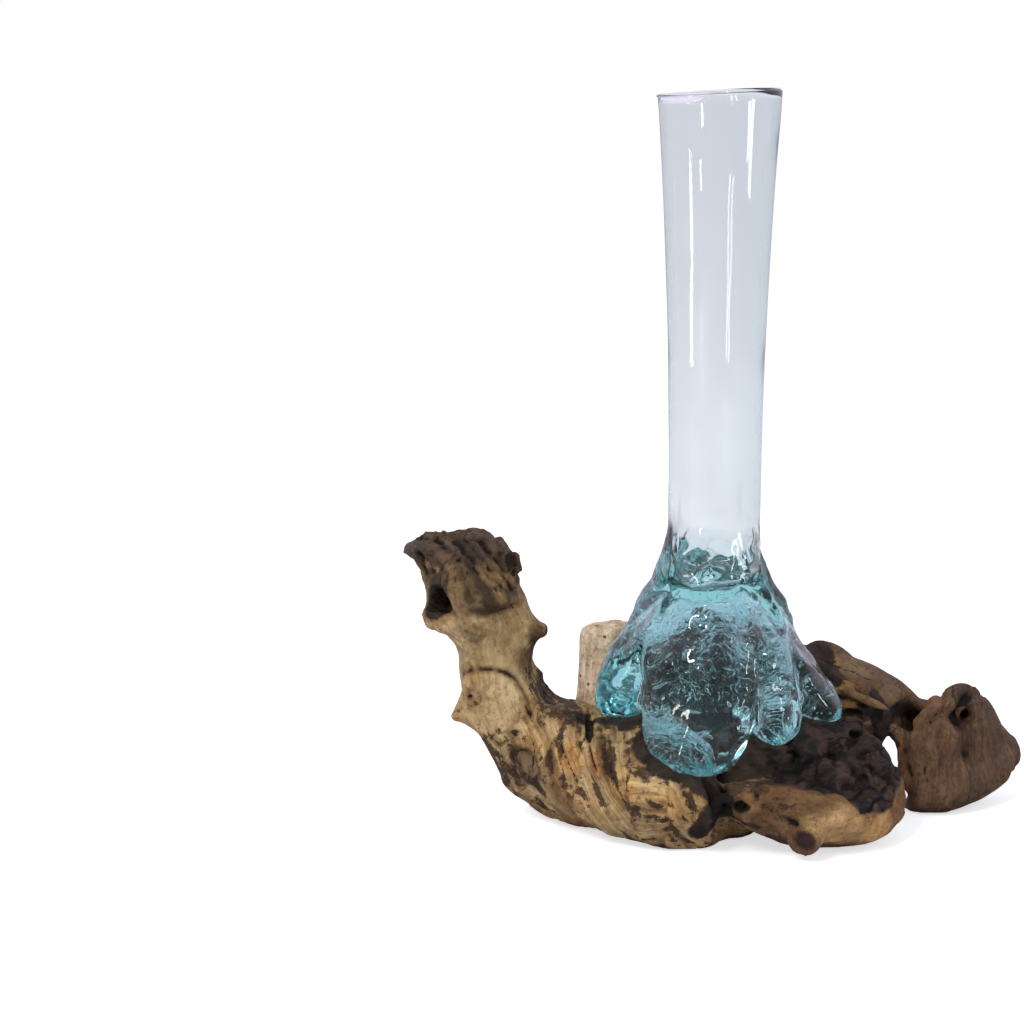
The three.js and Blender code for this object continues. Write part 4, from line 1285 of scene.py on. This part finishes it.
def skirt_place(part):
    spread = np.sin(np.pi / 2 * part**slope)
    side = skirt_reach + (reach - skirt_reach) * between(0.42, 0.8, part)
    blob = 2.6 * front_lobe * between(0.38, 0.60, part) * (1.0 - between(0.66, 0.95, part))
    waist = 1.6 * front_lobe * between(0.05, 0.28, part) * (1.0 - between(0.30, 0.46, part))
    radius = neck_radius + (side - neck_radius) * spread + blob - waist
    return radius, shoulder_height + (-drop - shoulder_height) * part


ring = np.stack([np.cos(turn), np.sin(turn)], 1)
new_radius, new_height = radius.copy(), height.copy()
on_skirt = kind == "skirt"
skirt_r, skirt_h = skirt_place(np.where(on_skirt, share, 0.5))
new_radius[on_skirt], new_height[on_skirt] = skirt_r[on_skirt], skirt_h[on_skirt]
print("skirt: widest at", round(float(new_radius.max()), 1), "mm from the axis")

# %% Bend the hem round and close the bottom
on_hem = kind == "hem"
bend = np.where(on_hem, share, 0.0) * np.pi
new_radius[on_hem] = (reach - hem_thickness / 2 * (1.0 - np.cos(bend)))[on_hem]
new_height[on_hem] = (-drop - hem_rounding * np.sin(bend))[on_hem]
on_under = (kind == "under") & ~pole
inner_r, inner_h = skirt_place(0.6 + 0.25 * (1.0 - share))
inward = np.where(share < 0.5, share / 0.5, 1.0)
target_r = (reach - hem_thickness) * (1.0 - inward) + (inner_r - hem_thickness) * inward
target_h = -drop * (1.0 - inward) + np.minimum(inner_h - hem_rounding, -hem_thickness) * inward
centre = np.where(share > 0.5, (share - 0.5) / 0.5, 0.0)
new_radius[on_under] = np.maximum(target_r * (1.0 - centre), 0.4)[on_under]
new_height[on_under] = (target_h * (1.0 - centre) - hem_thickness * centre)[on_under]
new_height[pole & (height < 0.0)] = -hem_thickness
print("lowest glass:", round(float(new_height.min()), 1), "mm from the crown")

# %% Add folds and ripples to the outside
flowing = np.column_stack([new_radius * ring[:, 0], new_radius * ring[:, 1], new_height])
wide_fold = noise(flowing / (17.0, 17.0, 13.0), 101)
slim_fold = noise(flowing / (8.5, 8.5, 8.0) + 0.6 * wide_fold[:, None], 103)
fine_fold = noise(flowing / (4.2, 4.2, 4.6), 107)
swirl = noise(flowing / (2.9, 2.9, 2.3) + 0.7 * slim_fold[:, None], 109)
outer = np.isin(kind, ("neck", "skirt", "hem"))
running = between(36.0, 12.0, new_height) * outer
rippled = between(38.0, 28.0, new_height) * outer
folds = running * (1.3 * wide_fold + 0.85 * slim_fold) + rippled * (0.42 * fine_fold + 0.20 * swirl)
waver = 0.10 * noise(np.column_stack([ring * 1.3, new_height / 30.0]), 109)
waver += 0.85 * np.exp(-0.5 * ((new_height - 71.0) / 13.0) ** 2) * (1.0 - between(35.0, 75.0, facing))
below_rim = new_height < vase_height - 4.0
print("folds up to", round(float(np.abs(folds).max()), 1), "mm")

# %% Add ripples, a dome and hand work to the bore
on_bore = np.isin(kind, ("bore", "lip")) | ((kind == "floor") & (share > 1.2))
bore_waver = 0.20 * noise(np.column_stack([ring * 1.6, new_height / 22.0]), 113)
new_radius += folds + waver * (outer & below_rim) + bore_waver * on_bore
low_bore = np.isin(kind, ("floor", "bore")) * between(60.0, 22.0, new_height)
ripple_place = np.column_stack([from_axis / 6.5, new_height / 12.0])
ripples = low_bore * (1.2 * noise(ripple_place, 127) + 0.75 * noise(ripple_place * 2.4, 131))
dome_radius = np.clip(radius / 16.0, 0.0, 1.0)
rings = np.column_stack([radius / 2.3 + 0.5 * ripples, 0.9 * np.cos(turn), 0.9 * np.sin(turn)])
dome = 11.5 * (1.0 - dome_radius**2) - 2.0 + 0.8 * noise(rings, 137)
new_height += np.where(kind == "floor", ripples + dome * between(2.1, 1.0, share), 0.0)
new_radius += np.where((kind == "bore") | ((kind == "floor") & (share > 1.0)), 0.14 * ripples, 0.0)
slant = rim_slant * np.clip((new_height - shoulder_height) / (vase_height - shoulder_height), 0.0, 1.0)
inner_shift = np.where(on_bore | (kind == "floor"), -0.7, 0.0) * between(20.0, 60.0, new_height)
slumped = np.column_stack([
    axis_x + new_radius * ring[:, 0] + inner_shift,
    axis_y + new_radius * ring[:, 1],
    crown_height + new_height + slant * new_radius * ring[:, 0],
])
slumped[pole, 0], slumped[pole, 1] = axis_x, axis_y
glass_low, glass_high = np.array(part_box("glass_vase")) / MM
slumped = np.clip(slumped, glass_low + box_margin, glass_high - box_margin)
put_points(vase.data, slumped)
print("slumped:", slumped.min(0).round(1), slumped.max(0).round(1))

# %% [markdown]
# ## The glass: the wood presses into it
#
# The underside of the glass is the wood's own shape. Rays sent straight down find the
# wood's top everywhere under the vase. That height map, smoothed and with everything
# below it filled, is a mould that can be pulled straight down, which is why the real
# vase can be lifted off. It is subtracted with a little air, and the edges that the cut
# leaves are melted round.

# %% Map the top of the wood
cell = 1.15
map_border = 3.0
air = 0.75
no_wood, mould_floor, above_all = -20.0, -24.0, 200.0
mould_x, mould_y = (
    np.arange(glass_low[k] - map_border, glass_high[k] + map_border, cell) for k in (0, 1)
)
wood_tree = tree_of(carved, wood.data)
tops = np.full((len(mould_x), len(mould_y)), no_wood)
for i, x in enumerate(mould_x):
    for j, y in enumerate(mould_y):
        found = wood_tree.ray_cast(Vector((x, y, above_all)), Vector((0.0, 0.0, -1.0)))[0]
        if found is not None:
            tops[i, j] = found.z
mould_tops = tops.copy()
for di in (-1, 0, 1):
    for dj in (-1, 0, 1):
        away = math.hypot(di, dj) * cell
        if 0.0 < away <= cell + 0.01:
            moved = np.roll(np.roll(tops, di, 0), dj, 1)
            mould_tops = np.maximum(mould_tops, moved - away * 0.35)
mould_tops += air
print("mould map:", tops.shape, "highest wood", tops.max().round(1))

# %% Make the mould one closed body
nx, ny = mould_tops.shape
below = nx * ny
grid_x, grid_y = np.meshgrid(mould_x, mould_y, indexing="ij")
top_points = np.column_stack([grid_x.ravel(), grid_y.ravel(), mould_tops.ravel()])
low_points = top_points.copy()
low_points[:, 2] = mould_floor
index = np.arange(below).reshape(nx, ny)
faces = []
for i in range(nx - 1):
    for j in range(ny - 1):
        a, b, c, d = index[i, j], index[i + 1, j], index[i + 1, j + 1], index[i, j + 1]
        faces.append((a, b, c, d))
        faces.append(tuple(k + below for k in (d, c, b, a)))
border = list(index[:, 0]) + list(index[-1, 1:]) + list(index[-2::-1, -1]) + list(index[0, -2:0:-1])
for start, end in zip(border, border[1:] + border[:1]):
    faces.append((end, start, start + below, end + below))
mould = new_piece("mould", np.vstack([top_points, low_points]), [], faces)
open_mesh(mould)
bpy.ops.mesh.normals_make_consistent(inside=False)
close_mesh()
even_skin(mould, cell, 6)
mould_tree = tree_of(points_of(mould.data), mould.data)
print("mould:", len(mould.data.polygons), "faces")

# %% Press it into the glass
sliver = 0.00012
cut(vase, mould, "MANIFOLD")
open_mesh(vase)
bpy.ops.mesh.remove_doubles(threshold=sliver)
bpy.ops.mesh.separate(type="LOOSE")
close_mesh()
parts = [o for o in bpy.context.selected_objects if o.type == "MESH"]
parts.sort(key=lambda o: len(o.data.vertices))
print("parts after the cut:", [len(o.data.vertices) for o in parts])
vase = parts.pop()
for scrap in parts:
    bpy.data.objects.remove(scrap)
vase.name = "blown_vase"

# %% Let the scorched seat boil
# Steam from the wood left the pressed face crinkled, which is what glints through the glass.
no_mould = 5.0
vase_points = points_of(vase.data)
vase_edges = edges_of(vase.data)
found = [mould_tree.find_nearest(Vector(p), no_mould)[3] for p in vase_points]
to_mould = np.array([no_mould if away is None else away for away in found])
to_mould[vase_points[:, 2] > crown_height + 30.0] = no_mould
pressed = (to_mould < 0.03).astype(float)
inner_part = blur(pressed, vase_edges, 6)
boil = noise(vase_points / (7.0, 7.0, 7.0), 151) * 0.8 + noise(vase_points / 3.3, 157) * 0.45
stroke = 1.0 - np.abs(noise(vase_points / (5.0, 9.0, 6.0), 163)) * 5.0
lift = pressed * between(0.55, 0.95, inner_part) * (0.5 + 0.8 * boil + 0.9 * np.clip(stroke, 0.0, 1.0))
vase_points[:, 2] += np.clip(lift, 0.0, 2.6)
put_points(vase.data, vase_points)
hanging = np.hypot((vase_points[:, 0] - 25.0) / 13.0, (vase_points[:, 1] + 33.0) / 15.0)
crinkled = blur(pressed, vase_edges, 2) * (0.25 + 0.75 * between(0.75, 1.15, hanging))
print("boiled:", int((lift > 0.1).sum()), "points")

# %% Melt the cut edges
cut_edge = blur(pressed, vase_edges, 3)
loose = np.clip(4.0 * cut_edge * (1.0 - cut_edge) * 1.3, 0.0, 1.0)[:, None]
melted = vase_points.copy()
for _ in range(10):
    melted = melted + loose * (blur(melted, vase_edges, 1) - melted)
put_points(vase.data, melted)
save(vase.data, "seat", crinkled)
print("melted", int((loose > 0.1).sum()), "points")

# %% [markdown]
# ## The glass: bubbles
#
# Where glass boils on wood, small bubbles stay in it, and many are drawn out by the
# slump. A bubble is a small hollow inside the glass, so it is a closed ball whose faces
# look inwards, into the air. One plain ball is made, and every bubble is a turned and
# stretched copy of it, kept a safe way inside the glass.

# %% Make one bubble
bpy.ops.object.select_all(action="DESELECT")
bpy.ops.mesh.primitive_uv_sphere_add(segments=8, ring_count=6, radius=1.0)
ball = bpy.context.object
ball_points = points_of(ball.data) * MM
ball_faces = [tuple(reversed(face.vertices)) for face in ball.data.polygons]
bpy.data.objects.remove(ball)
print("bubble:", len(ball_faces), "faces")

# %% Strew bubbles above the seat
most_bubbles = 260
dice = np.random.default_rng(17)
glass_tree = tree_of(melted, vase.data)
vase_normals = normals_of(vase.data)
seat_points = np.flatnonzero((pressed > 0.5) & (melted[:, 1] < 12.0) & (melted[:, 2] > 42.0))
bubble_points, bubble_faces = [], []
for pick in dice.permutation(seat_points):
    size = dice.uniform(0.28, 0.62)
    long_size = size * (dice.uniform(2.5, 6.0) if dice.random() < 0.45 else dice.uniform(1.0, 1.5))
    depth = dice.uniform(0.6, 4.5) + long_size
    middle = melted[pick] - vase_normals[pick] * depth
    away = glass_tree.find_nearest(Vector(middle), 20.0)[3]
    if away is None or away < long_size + 0.35:
        continue
    way = Vector((dice.normal() * 0.8 + 0.5, dice.normal() * 0.5, dice.normal() * 0.8 + 0.3))
    turned = np.array(way.normalized().to_track_quat("Z", "Y").to_matrix())
    first = len(bubble_points) * len(ball_points)
    bubble_faces += [tuple(k + first for k in face) for face in ball_faces]
    bubble_points.append(ball_points * (size, size, long_size) @ turned.T + middle)
    if len(bubble_points) == most_bubbles:
        break
join([new_piece("bubbles", np.vstack(bubble_points), [], bubble_faces)], vase)
print("bubbles:", len(bubble_points))

# %% [markdown]
# ## The glass: its finish
#
# Recycled bottle glass is faintly green, which only shows where light has a long way
# through it. So the colour isn't painted on. It is an absorption inside the glass: the
# thin neck stays nearly clear, and the heavy bottom turns teal by itself.

# %% Mix the glass
glass_look = bpy.data.materials.new("blown_glass")
glass_look.use_nodes = True
nodes = Nodes(glass_look.node_tree)
shader = glass_look.node_tree.nodes["Principled BSDF"]
names = ("Base Color", "Metallic", "Roughness", "IOR", "Transmission Weight")
nodes.fill([shader.inputs[name] for name in names], ((1.0, 1.0, 1.0), 0.0, 0.0, 1.5, 1.0))
absorb = nodes.add("VolumeAbsorption")
nodes.fill(absorb.inputs, ((0.36, 0.80, 0.80), 30.0))
body = glass_look.node_tree.nodes["Material Output"].inputs["Volume"]
nodes.fill([body], [absorb.outputs["Volume"]])
crinkle = nodes.speckle(nodes.add("TexCoord").outputs["Object"], 330.0, 3.0, 0.6, 0.8)
finish_piece(vase, glass_look, times(crinkle, read("seat")), 0.0015)
vase.visible_shadow = False
bpy.context.scene.cycles.caustics_refractive = False
bpy.context.scene.cycles.caustics_reflective = False
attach(vase, "vase")
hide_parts("glass_vase")
